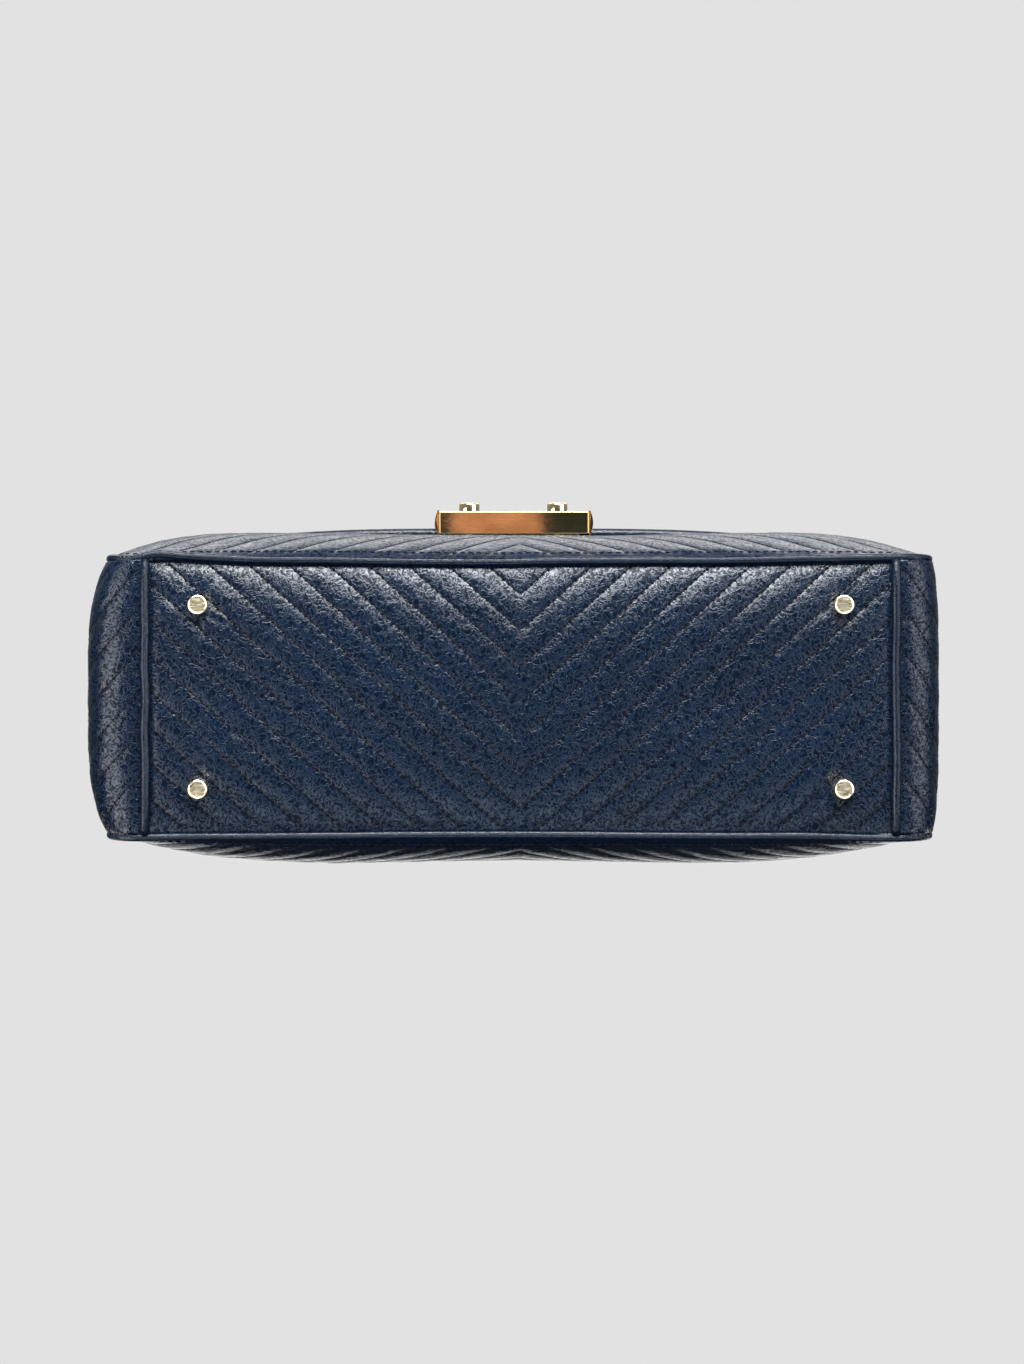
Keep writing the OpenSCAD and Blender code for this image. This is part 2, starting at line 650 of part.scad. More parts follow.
bottom_panel();
base_board();
front_panel();
back_panel();
gusset(-1);  // left_gusset
gusset(1);  // right_gusset
welt(-1);  // front_welt
welt(1);  // back_welt
piping(-1);  // left_piping
piping(1);  // right_piping
lining();
mouth_binding();
foot(-1, -1);  // front_left_foot
foot(1, -1);  // front_right_foot
foot(-1, 1);  // back_left_foot
foot(1, 1);  // back_right_foot
foot_washers();
flap_strip();
strike_plate();
strike_posts();
strike_backing();
ring_tab(-1);  // left_ring_tab
ring_tab(1);  // right_ring_tab
ring_tab_rivets();
strap_ring(-1);  // left_strap_ring
strap_ring(1);  // right_strap_ring
flap_shell();
flap_lining();
flap_edge();
lock_bar();
lock_cap(-1);  // left_lock_cap
lock_cap(1);  // right_lock_cap
lock_rivets();
stud(-1);  // left_stud
stud(1);  // right_stud
stud_spring(-1);  // left_stud_spring
stud_spring(1);  // right_stud_spring
handle_anchor(-1);  // left_handle_anchor
handle_anchor(1);  // right_handle_anchor
anchor_rivets();
handle_backing_plates();
handle_ring(-1);  // left_handle_ring
handle_ring(1);  // right_handle_ring
handle_tab(-1);  // left_handle_tab
handle_tab(1);  // right_handle_tab
handle_grip();
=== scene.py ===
from math import ceil, cos, floor, pi, radians, sin, sqrt, tan
import bmesh
import bpy
import numpy as np
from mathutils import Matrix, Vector


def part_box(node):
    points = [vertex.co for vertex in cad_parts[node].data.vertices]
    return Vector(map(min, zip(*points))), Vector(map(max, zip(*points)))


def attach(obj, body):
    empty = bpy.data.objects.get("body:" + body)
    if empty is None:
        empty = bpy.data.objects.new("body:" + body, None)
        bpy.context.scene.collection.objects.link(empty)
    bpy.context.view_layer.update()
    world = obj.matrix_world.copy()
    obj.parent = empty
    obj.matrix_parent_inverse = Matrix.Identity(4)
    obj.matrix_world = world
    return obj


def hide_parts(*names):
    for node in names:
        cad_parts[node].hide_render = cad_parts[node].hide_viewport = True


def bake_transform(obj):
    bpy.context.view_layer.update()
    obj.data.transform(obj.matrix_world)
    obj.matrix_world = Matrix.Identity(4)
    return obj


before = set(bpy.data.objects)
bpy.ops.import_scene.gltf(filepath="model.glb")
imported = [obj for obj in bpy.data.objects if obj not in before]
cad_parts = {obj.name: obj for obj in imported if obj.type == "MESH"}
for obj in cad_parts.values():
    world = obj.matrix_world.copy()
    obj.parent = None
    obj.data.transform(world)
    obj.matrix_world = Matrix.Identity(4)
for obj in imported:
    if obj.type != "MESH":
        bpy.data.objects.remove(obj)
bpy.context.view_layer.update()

# Sizes in millimetres, as in the part's source. Depths are measured from the body's middle plane.
BASE_W, MOUTH_W = 346.0, 318.0
BASE_D, MOUTH_D = 117.0, 94.0
BODY_H, FOOT_H, CORNER_R = 235.0, 6.0, 15.0
PANEL_SWELL, PANEL_SKEW, SWELL_POWER = 16.0, 0.65, 3.8
GUSSET_SWELL, GUSSET_SKEW = 6.0, 0.55
LEATHER_T, SEAM_INSET = 3.0, 18.0
FIT = 0.4  # clearance between sewn pieces
TUCK = 1.6  # how far the bottom and the gussets are tucked under the raised edges
SEAM_X = BASE_W / 2 - SEAM_INSET
INNER_D = BASE_D / 2 - LEATHER_T - FIT
CORNER_Z = FOOT_H + CORNER_R
FOOT_X, FOOT_Y = 133.0, 38.0
FLAP_W, FLAP_EDGE_Z, FLAP_R = 304.0, 110.0, 48.0
FLAP_T, FLAP_GAP, EDGE_R = 4.0, 1.5, 2.0
FLAP_TOP = BODY_H + 2.5
BEND_R = 6.0
BEND_Z = FLAP_TOP - BEND_R
HINGE_Y, HINGE_Z = MOUTH_D / 2 + 4, FLAP_TOP
STRIP_LOW, STRIP_OUT = 205.0, 3.3
WIRE_R = 1.5
LOOP_R = 2.55  # of the middle of a leather loop round a wire

# The frame's origin is under the whole box, so the body's middle plane lies beside it
_low, _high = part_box("bottom_panel")
MID = (_low[1] + _high[1]) / 2 * 1000

# Quilting: distance between lines, tangent of the chevrons' angle, distance between stitches,
# and the rows of mesh points across one channel
PITCH = 11.0
SLOPE = tan(radians(42))
STITCH = 3.05
ROWS = np.array([0, 0.3, 0.75, 1.5, 2.7, 4.1, 5.5, 6.9, 8.3, 9.5, 10.25, 10.7]) / PITCH

SIDES = (("left", -1), ("right", 1))
FEET = (("front_left", -1, -1), ("front_right", 1, -1), ("back_left", -1, 1), ("back_right", 1, 1))
DOWN = ((1, 0, 0), (0, -1, 0), (0, 0, -1))
UP = ((1, 0, 0), (0, 1, 0), (0, 0, 1))
FRONT = ((1, 0, 0), (0, 0, 1), (0, -1, 0))


# Numbers

def smooth(a, b, v):
    t = np.clip((v - a) / (b - a), 0, 1)
    return t * t * (3 - 2 * t)


def bell(v, middle, width):
    return np.exp(-((v - middle) / width) ** 2)


def noise(x, y, seed=0):
    """Smooth value noise from -1 to 1, the same on every run."""
    x, y = np.asarray(x, float), np.asarray(y, float)
    i, j = np.floor(x), np.floor(y)
    u, v = x - i, y - j
    u, v = u * u * (3 - 2 * u), v * v * (3 - 2 * v)

    def cell(a, b):
        h = np.sin(a * 127.1 + b * 311.7 + seed * 74.7) * 43758.5453
        return (h - np.floor(h)) * 2 - 1

    low = cell(i, j) * (1 - u) + cell(i + 1, j) * u
    high = cell(i, j + 1) * (1 - u) + cell(i + 1, j + 1) * u
    return low * (1 - v) + high * v


def unit(rows):
    return rows / (np.linalg.norm(rows, axis=1)[:, None] + 1e-12)


def run_length(points):
    return np.r_[0, np.cumsum(np.linalg.norm(np.diff(points, axis=0), axis=1))]


def signed_power(v, power):
    return np.sign(v) * np.abs(v) ** power


def circle(count):
    return np.arange(count) / count * 2 * pi


def arc(cx, cy, r, a0, a1, n):
    return [(cx + r * cos(a), cy + r * sin(a)) for a in np.radians(np.linspace(a0, a1, n))]


def rectangle(x0, y0, x1, y1):
    return [(x0, y0), (x1, y0), (x1, y1), (x0, y1)]


def along(points, run, at):
    """What lies at distances along a line, from rows of values and the distance of each row."""
    return np.stack([np.interp(at, run, column) for column in points.T], 1)


def resample(points, step):
    points = np.asarray(points, float)
    run = run_length(points)
    n = max(2, int(round(run[-1] / step)) + 1)
    return along(points, run, np.linspace(0, run[-1], n))


def closed_line(points, step):
    """A line round an outline, from its first point to it again."""
    return resample(points + points[:1], step)


# Shape of the body

def rise(z):
    return np.clip((z - FOOT_H) / (BODY_H - FOOT_H), 0, 1)


def half_depth(z):
    return (BASE_D + (MOUTH_D - BASE_D) * rise(z)) / 2


def side_x(z):
    z = np.asarray(z, float)
    low = BASE_W / 2 - CORNER_R + np.sqrt(np.maximum(0, CORNER_R ** 2 - np.minimum(0, z - CORNER_Z) ** 2))
    high = (BASE_W + (MOUTH_W - BASE_W) * (z - CORNER_Z) / (BODY_H - CORNER_Z)) / 2
    return np.where(z < CORNER_Z, low, high)


def across(x, z):
    """0 in the middle of a panel, 1 at its ends."""
    return np.minimum(1, np.abs(x) / side_x(np.maximum(z, CORNER_Z)))


def face_y(x, z):
    swell = PANEL_SWELL * np.sin(pi * rise(z) ** PANEL_SKEW)
    return half_depth(z) + swell * (1 - across(x, z) ** SWELL_POWER)


# Meshes

def link_object(name, data):
    obj = bpy.data.objects.new(name, data)
    bpy.context.scene.collection.objects.link(obj)
    return obj


def shade(mesh, sharp):
    """Smooth shading, with edges over an angle in degrees left sharp."""
    mesh.polygons.foreach_set("use_smooth", [True] * len(mesh.polygons))
    if sharp is not None:
        mesh.set_sharp_from_angle(angle=radians(sharp))


def make_object(name, verts, faces, material, grain=None, painted_shade=None, sharp=None):
    """A mesh object from points in millimetres."""
    points = np.array(verts, float).reshape(-1, 3)
    points[:, 1] += MID
    mesh = bpy.data.meshes.new(name)
    mesh.from_pydata((points / 1000).tolist(), [], [list(map(int, f)) for f in faces])
    mesh.validate()
    layers = (("grain", "FLOAT_VECTOR", "vector", grain), ("painted_shade", "FLOAT", "value", painted_shade))
    for label, kind, field, values in layers:
        if values is not None:
            layer = mesh.attributes.new(label, kind, "POINT")
            layer.data.foreach_set(field, np.asarray(values, np.float32).ravel())
    shade(mesh, sharp)
    mesh.materials.append(material)
    mesh.update()
    return link_object(name, mesh)


def points_and_faces(bm):
    bm.verts.index_update()
    return np.array([v.co for v in bm.verts]), [[v.index for v in f.verts] for f in bm.faces]


def apply_modifiers(obj):
    graph = bpy.context.evaluated_depsgraph_get()
    mesh = bpy.data.meshes.new_from_object(obj.evaluated_get(graph))
    obj.modifiers.clear()
    obj.data = mesh


def thicken(obj, metres, offset):
    mod = obj.modifiers.new("thickness", "SOLIDIFY")
    mod.thickness, mod.offset = metres, offset


def dress(obj, nodes):
    if nodes:
        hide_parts(*nodes)
    return obj


def leather(obj, body, *nodes):
    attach(obj, body)
    return dress(obj, nodes)


def metal(obj, body, *nodes):
    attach(obj, body)
    return dress(obj, nodes)


def outline_planes(points):
    """Half planes (point, outward normal) of a convex outline given anticlockwise."""
    planes = []
    for a, b in zip(points, points[1:] + points[:1]):
        d = np.subtract(b, a) / np.linalg.norm(np.subtract(b, a))
        planes.append((np.array(a), np.array([d[1], -d[0]])))
    return planes


def edge_distance(pts, planes):
    return np.min([-((pts - p) @ nrm) for p, nrm in planes], 0)


def grid_faces(ids):
    return np.stack([ids[:-1, :-1], ids[:-1, 1:], ids[1:, 1:], ids[1:, :-1]], -1).reshape(-1, 4)


def sweep(name, path, out, section, material, closed=False, scale=None, seed=0):
    """A tube along path. section holds (outward, sideways) offsets, and out is the outward direction."""
    path, section = np.asarray(path, float), np.asarray(section, float)
    out = np.broadcast_to(np.asarray(out, float), path.shape)
    if closed:
        t = unit(np.roll(path, -1, 0) - np.roll(path, 1, 0))
    else:
        t = unit(np.gradient(path, axis=0))
    out = unit(out - (out * t).sum(1)[:, None] * t)
    side = np.cross(t, out)
    k = np.ones(len(path)) if scale is None else scale
    offset = out[:, None] * section[:, :1] + side[:, None] * section[:, 1:]
    ring = path[:, None] + k[:, None, None] * offset
    rows, cols = ring.shape[:2]
    ids = np.arange(rows * cols).reshape(rows, cols)
    around = np.c_[ids, ids[:, :1]]
    faces = grid_faces(np.r_[around, around[:1]] if closed else around).tolist()
    if not closed:
        faces += [ids[0][::-1].tolist(), ids[-1].tolist()]
    run, turn = np.meshgrid(run_length(path), run_length(section), indexing="ij")
    grain = np.stack([run, turn, np.full_like(run, seed * 17.0)], -1).reshape(-1, 3)
    return make_object(name, ring.reshape(-1, 3), faces, material, grain, np.zeros(rows * cols))


def rounded(a0, a1, b0, b1, power=2.6, count=20):
    """A closed section between two limits each way, with rounded corners."""
    t = circle(count)
    x, y = signed_power(np.cos(t), 2 / power), signed_power(np.sin(t), 2 / power)
    return np.c_[(a0 + a1) / 2 + x * (a1 - a0) / 2, (b0 + b1) / 2 + y * (b1 - b0) / 2]


def round_section(r, count=16):
    return rounded(-r, r, -r, r, 2.0, count)


def skin(name, rings, material, sharp, grain=None):
    """A mesh over a row of rings of points. The first or the last may be a single point."""
    count = max(map(len, rings))
    faces, start = [], 0
    for a, b in zip(rings, rings[1:]):
        above = start + len(a)
        for k in range(count):
            j = (k + 1) % count
            low = [start + k, start + j] if len(a) > 1 else [start]
            faces.append(low + ([above + j, above + k] if len(b) > 1 else [above]))
        start = above
    return make_object(name, np.concatenate(rings), faces, material, grain, sharp=sharp)


def lathe(name, profile, place, axes, material, segments=64):
    """A turned piece. profile is (radius, height) pairs; axes are its x, y and height directions."""
    if profile[0][1] > profile[-1][1]:
        profile = profile[::-1]
    ax, ay, az = (np.asarray(v, float) for v in axes)
    t = circle(segments)
    ring = np.cos(t)[:, None] * ax + np.sin(t)[:, None] * ay
    rings = [np.asarray(place) + (ring * r if r else 0 * ring[:1]) + az * h for r, h in profile]
    return skin(name, rings, material, 35)


def joined(name, objs):
    """Several gold pieces as one object."""
    verts, faces = [], []
    for o in objs:
        faces += [[len(verts) + i for i in f.vertices] for f in o.data.polygons]
        verts += [v.co * 1000 - Vector((0, MID, 0)) for v in o.data.vertices]
        bpy.data.objects.remove(o)
    return make_object(name, verts, faces, GOLD, sharp=35)


# Stitches

THREAD_TAPER, THREAD_SINK = 0.22, 0.6  # shares of a stitch's length and height
HOLE_RIM, HOLE_TOP, HOLE_DEEP = -0.05, 0.07, -0.6  # heights of a needle hole over its mark


def thread_mesh(name, a, b, up, width, height, holes=None):
    """Many stitches as one mesh. a and b are the ends of each stitch, up is its outward direction.
    holes are (points, outward directions, radius) of the needle holes between them, small marks painted
    black as shade."""
    length = np.linalg.norm(b - a, axis=1)[:, None]
    d = unit(b - a)
    side = unit(np.cross(d, up))
    rings = [a - up * height * THREAD_SINK]
    for c in (a + d * length * THREAD_TAPER, b - d * length * THREAD_TAPER):
        rings += [c + side * width, c + up * height, c - side * width, c - up * height]
    rings.append(b - up * height * THREAD_SINK)
    verts = np.stack(rings, 1).reshape(-1, 3)
    pattern = []
    for i, j in ((1, 2), (2, 3), (3, 4), (4, 1)):
        pattern += [[0, i, j], [i, i + 4, j + 4, j], [9, j + 4, i + 4]]
    faces = [[10 * i + k for k in f] for i in range(len(a)) for f in pattern]
    # 1 on the needle-hole marks, which the thread material paints black as shade.
    hole_shade = np.zeros(len(verts))
    if holes is not None:
        c, n, r = holes
        u = unit(np.cross(n, [0.31, 0.59, 0.74]))
        v = np.cross(n, u)
        start = len(verts)
        spots = [c + r * (cos(t) * u + sin(t) * v) + n * HOLE_RIM for t in circle(6)]
        spots += [c + n * HOLE_TOP, c + n * HOLE_DEEP]
        verts = np.vstack([verts, np.stack(spots, 1).reshape(-1, 3)])
        fan = [f for k in range(6) for f in ([6, k, (k + 1) % 6], [7, (k + 1) % 6, k])]
        faces += [[start + 8 * i + k for k in f] for i in range(len(c)) for f in fan]
        hole_shade = np.r_[hole_shade, np.ones(8 * len(c))]
    return make_object(name, verts, faces, THREAD, painted_shade=hole_shade)


def path_stitches(name, path, up, pitch, width=0.26, height=0.28):
    """A row of stitches along a line, with one outward direction or one for each of its points."""
    fill = 0.7
    path = np.asarray(path, float)
    both = np.c_[path, np.broadcast_to(np.asarray(up, float), path.shape)]
    run = run_length(path)
    n = int(run[-1] / pitch)
    mid = (np.arange(n) + 0.5) * run[-1] / n
    half = pitch * fill / 2
    a, b, c = (along(both, run, mid + d) for d in (-half, half, 0))
    return thread_mesh(name, a[:, :3], b[:, :3], unit(c[:, 3:]), width, height)


# Quilting

def quilt_lattice(planes, slope, offset, chevron, step=1.35):
    """A flat mesh trimmed to a convex outline, whose rows follow the quilting lines.
    Returns points, faces and boundary edges."""
    corners = np.array([p for p, _ in planes])
    x0, y0 = corners.min(0) - 0.5
    x1, y1 = corners.max(0) + 0.5
    drop = PITCH * sqrt(1 + slope * slope)
    n = int(ceil(max(abs(x0), abs(x1)) / step))
    xs = np.arange(-n, n + 1) * step
    if not chevron:
        xs = xs[(xs > x0 - 2 * step) & (xs < x1 + 2 * step)]
    lean = slope * (np.abs(xs) if chevron else xs)
    m0 = floor((y0 - lean.max() - offset) / drop) - 1
    m1 = ceil((y1 - lean.min() - offset) / drop) + 1
    lines = (np.arange(m0, m1)[:, None] + ROWS[None, :]).ravel() * drop + offset
    px, py = np.broadcast_arrays(xs[None, :], lines[:, None] + lean[None, :])
    quads = grid_faces(np.arange(px.size).reshape(px.shape))
    flat = np.stack([px.ravel(), py.ravel()], 1)
    near = edge_distance(flat, planes) > -(3 * step + 2)
    quads = quads[near[quads].all(1)]
    used = np.unique(quads)
    renum = np.full(len(flat), -1)
    renum[used] = np.arange(len(used))
    mesh = bpy.data.meshes.new("lattice")
    mesh.from_pydata(np.c_[flat[used], np.zeros(len(used))].tolist(), [], renum[quads].tolist())
    bm = bmesh.new()
    bm.from_mesh(mesh)
    bpy.data.meshes.remove(mesh)
    for p, nrm in planes:
        geom = bm.verts[:] + bm.edges[:] + bm.faces[:]
        bmesh.ops.bisect_plane(bm, geom=geom, dist=1e-4, plane_co=(*p, 0), plane_no=(*nrm, 0),
                               clear_outer=True)
    bmesh.ops.remove_doubles(bm, verts=bm.verts, dist=0.02)
    pts, faces = points_and_faces(bm)
    rim = [(e.link_loops[0].vert.index, e.link_loops[0].link_loop_next.vert.index)
           for e in bm.edges if len(e.link_faces) == 1]
    bm.free()
    return pts[:, :2], faces, rim


class Quilt:
    """A quilted piece. surface maps flat points to space, planes are its outline, slope and offset place
    the lines, puff is the height of a channel, and flip turns the outward side over."""

    def __init__(self, surface, planes, slope, offset, seed, puff, flip=False, chevron=True, extra=None):
        self.surface, self.planes, self.slope, self.offset = surface, planes, slope, offset
        self.chevron, self.seed, self.flip, self.puff, self.extra = chevron, seed, flip, puff, extra
        self.drop = PITCH * sqrt(1 + slope * slope)

    def share(self, pts):
        """0 on a quilting line, 1 midway between two."""
        lean = self.slope * (np.abs(pts[:, 0]) if self.chevron else pts[:, 0])
        f = np.mod((pts[:, 1] - lean - self.offset) / self.drop, 1)
        return 2 * np.minimum(f, 1 - f)

    def height(self, pts, share):
        """Height of the leather over its plain surface, in millimetres."""
        x, y, seed = pts[:, 0], pts[:, 1], self.seed
        arch = (1 - (1 - share) ** 2.2) ** 0.9
        lump = 1 + 0.14 * noise(x / 17, y / 17, seed) + 0.08 * noise(x / 6, y / 6, seed + 1)
        wave = 0.3 * noise(x / 38, y / 38, seed + 2)
        crease = 0.1 * noise(x / 3.1, y / 3.1, seed + 3) * smooth(0.1, 0.5, share)
        inner = smooth(0.5, 6, edge_distance(pts, self.planes))
        h = (self.puff * (arch * lump - 0.55) + wave + crease) * inner - 0.5 * self.puff * (1 - inner)
        return h if self.extra is None else h + self.extra(pts)

    def normals(self, pts):
        return surface_normals(self.surface, pts, self.flip)

    def lift(self, pts, share, above=0.0):
        n = self.normals(pts)
        return self.surface(pts) + n * (self.height(pts, share) + above)[:, None], n

    def panel(self, name, thick=2.2, cap=True):
        """The padded leather, closed behind by one face if cap is set."""
        pts, faces, rim = quilt_lattice(self.planes, self.slope, self.offset, self.chevron)
        share = self.share(pts)
        top, n = self.lift(pts, share)
        # Mask for painted shade along the quilting lines, which the leather material darkens; it fades out
        # towards the outline.
        painted_shade = (1 - smooth(0.0, 0.2, share)) * smooth(0, 4, edge_distance(pts, self.planes))
        grain = np.c_[pts, np.full(len(pts), self.seed * 13.0)]
        if self.flip:
            faces = [f[::-1] for f in faces]
            rim = [(b, a) for a, b in rim]
        if cap:
            order = sorted({i for e in rim for i in e})
            back = {i: len(top) + k for k, i in enumerate(order)}
            top = np.vstack([top, top[order] - n[order] * thick])
            grain = np.vstack([grain, grain[order]])
            painted_shade = np.r_[painted_shade, np.zeros(len(order))]
            faces = faces + [[b, a, back[a], back[b]] for a, b in rim]
            follow = {back[b]: back[a] for a, b in rim}
            loop = [next(iter(follow))]
            while follow[loop[-1]] != loop[0] and len(loop) <= len(follow):
                loop.append(follow[loop[-1]])
            faces.append(loop)
        return make_object(name, top, faces, LEATHER, grain, painted_shade, sharp=50)

    def stitches(self, name, inset=3.0, hole=lambda p: np.full(len(p), 0.6)):
        """Stitches along the quilting lines, and needle holes between them that are painted black as shade.
        hole gives their radius.
        """
        corners = np.array([p for p, _ in self.planes])
        (x0, y0), (x1, y1) = corners.min(0), corners.max(0)
        gap = STITCH / sqrt(1 + self.slope ** 2)
        marks = []
        for lo, hi, s in ([(0, x1, 1), (0, -x0, -1)] if self.chevron else [(x0, x1, 1)]):
            xs = np.arange(lo + gap * 0.6, hi, gap)
            lean = self.slope * xs
            along = np.array([s, self.slope]) * gap
            m0 = floor((y0 - lean.max() - self.offset) / self.drop)
            m1 = ceil((y1 - lean.min() - self.offset) / self.drop) + 1
            for m in range(m0, m1):
                c = np.c_[s * xs, self.offset + m * self.drop + lean]
                c = c[edge_distance(c, self.planes) > inset]
                marks.append(np.stack([c - along * 0.36, c + along * 0.36, c + along * 0.5], 1))
        marks = np.concatenate(marks)
        zero = np.zeros(len(marks))
        a, n = self.lift(marks[:, 0], zero, 0.08)
        b, _ = self.lift(marks[:, 1], zero, 0.08)
        c, up = self.lift(marks[:, 2], zero, 0.06 + 0.2 * self.puff)
        return thread_mesh(name, a, b, n, 0.25, 0.2, holes=(c, up, hole(marks[:, 2])[:, None]))


def surface_normals(surface, pts, flip):
    e = 0.25
    a = surface(pts + [e, 0]) - surface(pts - [e, 0])
    b = surface(pts + [0, e]) - surface(pts - [0, e])
    n = unit(np.cross(a, b))
    return -n if flip else n


# Materials

class Nodes:
    """A new material or world, with short forms for its nodes."""

    def __init__(self, name, kind="materials", empty=False):
        self.owner = getattr(bpy.data, kind).new(name)
        self.owner.use_nodes = True
        self.tree = self.owner.node_tree
        if empty:
            self.tree.nodes.clear()

    def put(self, socket, value):
        if isinstance(value, bpy.types.NodeSocket):
            self.tree.links.new(value, socket)
        else:
            socket.default_value = value

    def set(self, name, value):
        """An input of the principled shader."""
        shader = next(n for n in self.tree.nodes if n.type == "BSDF_PRINCIPLED")
        self.put(shader.inputs[name], value)

    def node(self, kind, inputs=None, **values):
        """A node. Its inputs, by name or number, are sockets or plain values."""
        n = self.tree.nodes.new("ShaderNode" + kind)
        for k, v in values.items():
            setattr(n, k, v)
        for k, v in (inputs or {}).items():
            self.put(n.inputs[k], v)
        return n

    def math(self, op, *values):
        return self.node("Math", dict(enumerate(values)), operation=op).outputs[0]

    def total(self, *terms):
        """Sum of sockets, each times its weight."""
        parts = [self.math("MULTIPLY", socket, weight) for socket, weight in terms]
        while len(parts) > 1:
            parts[:2] = [self.math("ADD", parts[0], parts[1])]
        return parts[0]

    def ramp(self, value, a, b, lo=0.0, hi=1.0, kind="SMOOTHSTEP"):
        inputs = {"Value": value, "From Min": a, "From Max": b, "To Min": lo, "To Max": hi}
        return self.node("MapRange", inputs, interpolation_type=kind).outputs["Result"]

    def mix(self, fac, a, b):
        return self.node("Mix", {0: fac, 6: a, 7: b}, data_type="RGBA").outputs[2]

    def noise(self, vector, scale, detail=2.0, rough=0.5, out="Fac"):
        inputs = {"Vector": vector, "Scale": scale, "Detail": detail, "Roughness": rough}
        return self.node("TexNoise", inputs).outputs[out]

    def vector(self, op, inputs):
        return self.node("VectorMath", inputs, operation=op)

    def warp(self, vector, by, amount):
        """vector moved by a noise's colour."""
        move = self.vector("SUBTRACT", {0: by, 1: (0.5, 0.5, 0.5)}).outputs[0]
        move = self.vector("SCALE", {0: move, "Scale": amount}).outputs[0]
        return self.vector("ADD", {0: vector, 1: move}).outputs[0]

    def stretch(self, vector, scale):
        return self.node("Mapping", {"Vector": vector, "Scale": scale}).outputs[0]

    def bump(self, height, distance, **more):
        inputs = {"Strength": 1.0, "Height": height, "Distance": distance, **more}
        return self.node("Bump", inputs).outputs[0]

    def attribute(self, name, out="Fac"):
        return self.node("Attribute", attribute_name=name).outputs[out]

    def where(self):
        """Object coordinates in millimetres."""
        return self.stretch(self.node("TexCoord").outputs["Object"], (1000, 1000, 1000))

    def surface(self, kind, fac, a, b):
        """Makes a mixture of two shaders what shows. kind is Material or World."""
        mix = self.node("MixShader", {0: fac, 1: a.outputs[0], 2: b.outputs[0]})
        self.node("Output" + kind, {"Surface": mix.outputs[0]})


def leather_material(name, dark, light, depth=0.00008, rough=(0.17, 0.26), gloss=(0.06, 0.42)):
    """Semi-gloss leather with a fine wrinkled grain, with painted shade in its creases and along its
    quilting grooves. Pieces carry their flat position in millimetres.
    """
    m = Nodes(name)
    at = m.attribute("grain", "Vector")
    warped = m.warp(at, m.noise(at, 0.3, 1.5, out="Color"), 4.0)

    def ridges(scale, sharp):
        away = m.math("ABSOLUTE", m.math("SUBTRACT", m.noise(warped, scale, 1.0), 0.5))
        flat = m.math("MINIMUM", m.math("MULTIPLY", away, sharp), 1.0)
        return m.math("SUBTRACT", 1.0, m.math("POWER", flat, 0.6))

    fine = m.noise(at, 2.6, 2.0, 0.6)
    height = m.total((ridges(0.55, 6.0), 0.65), (ridges(1.1, 5.0), 0.4), (fine, 0.15))
    cloud = m.ramp(m.noise(at, 0.03, 3.0), 0.3, 0.7)
    # Base colour darker down in the grain's creases, as painted shade, times a random cloud of tone.
    tone = m.math("MULTIPLY", m.ramp(height, 0.05, 0.75), m.math("MULTIPLY_ADD", cloud, 0.3, 0.7))
    painted_shade = m.attribute("painted_shade")
    # seam is a painted shade colour, a darker copy of the dark leather, laid along the quilting grooves.
    seam = [c * 0.4 for c in dark[:3]] + [1]
    m.set("Base Color", m.mix(m.math("MULTIPLY", painted_shade, 0.6), m.mix(tone, dark, light), seam))
    m.set("Roughness", m.ramp(m.total((height, 1.0), (cloud, 0.2)), 0.3, 1.2, rough[1], rough[0]))
    m.set("Normal", m.bump(height, depth))
    # Less specular down in the creases, standing in for their shade.
    m.set("Specular IOR Level", m.ramp(height, 0.2, 0.85, *gloss))
    return m.owner


def thread_material():
    """Twisted thread. Where the mesh marks needle holes, they are painted black as shade."""
    m = Nodes("thread")
    twist = m.noise(m.stretch(m.where(), (3, 3, 3)), 1.0, 2.0)
    tone = m.mix(twist, (0.0018, 0.0036, 0.0120, 1), (0.0038, 0.0074, 0.0220, 1))
    hole = m.attribute("painted_shade")
    # Needle holes painted near black, as the shade inside them.
    m.set("Base Color", m.mix(hole, tone, (0.0003, 0.0005, 0.0010, 1)))
    m.set("Roughness", m.math("MAXIMUM", m.ramp(twist, 0.3, 0.7, 0.6, 0.85), hole))
    m.set("Specular IOR Level", 0.14)
    return m.owner


def gold_material(name, colour, rough, dents=0.0):
    m = Nodes(name)
    at = m.where()
    cloud = m.noise(at, 0.12, 3.0)
    rub = m.noise(m.stretch(at, (0.25, 1.6, 2.4)), 1.0, 4.0, 0.65)
    worn = [c * k for c, k in zip(colour[:3], (0.93, 0.9, 0.82))] + [1]
    normal = m.bump(rub, 0.00001, Strength=0.5)
    if dents:
        inputs = {"Vector": m.stretch(at, (0.75, 0.75, 0.75)), "Scale": 1.0}
        cells = m.node("TexVoronoi", inputs, feature="SMOOTH_F1").outputs["Distance"]
        normal = m.bump(cells, dents, Normal=normal)
    m.set("Metallic", 1.0)
    m.set("Base Color", m.mix(m.ramp(cloud, 0.3, 0.75), colour, worn))
    m.set("Roughness", m.ramp(rub, 0.35, 0.75, rough * 0.7, rough * 1.6))
    m.set("Normal", normal)
    return m.owner


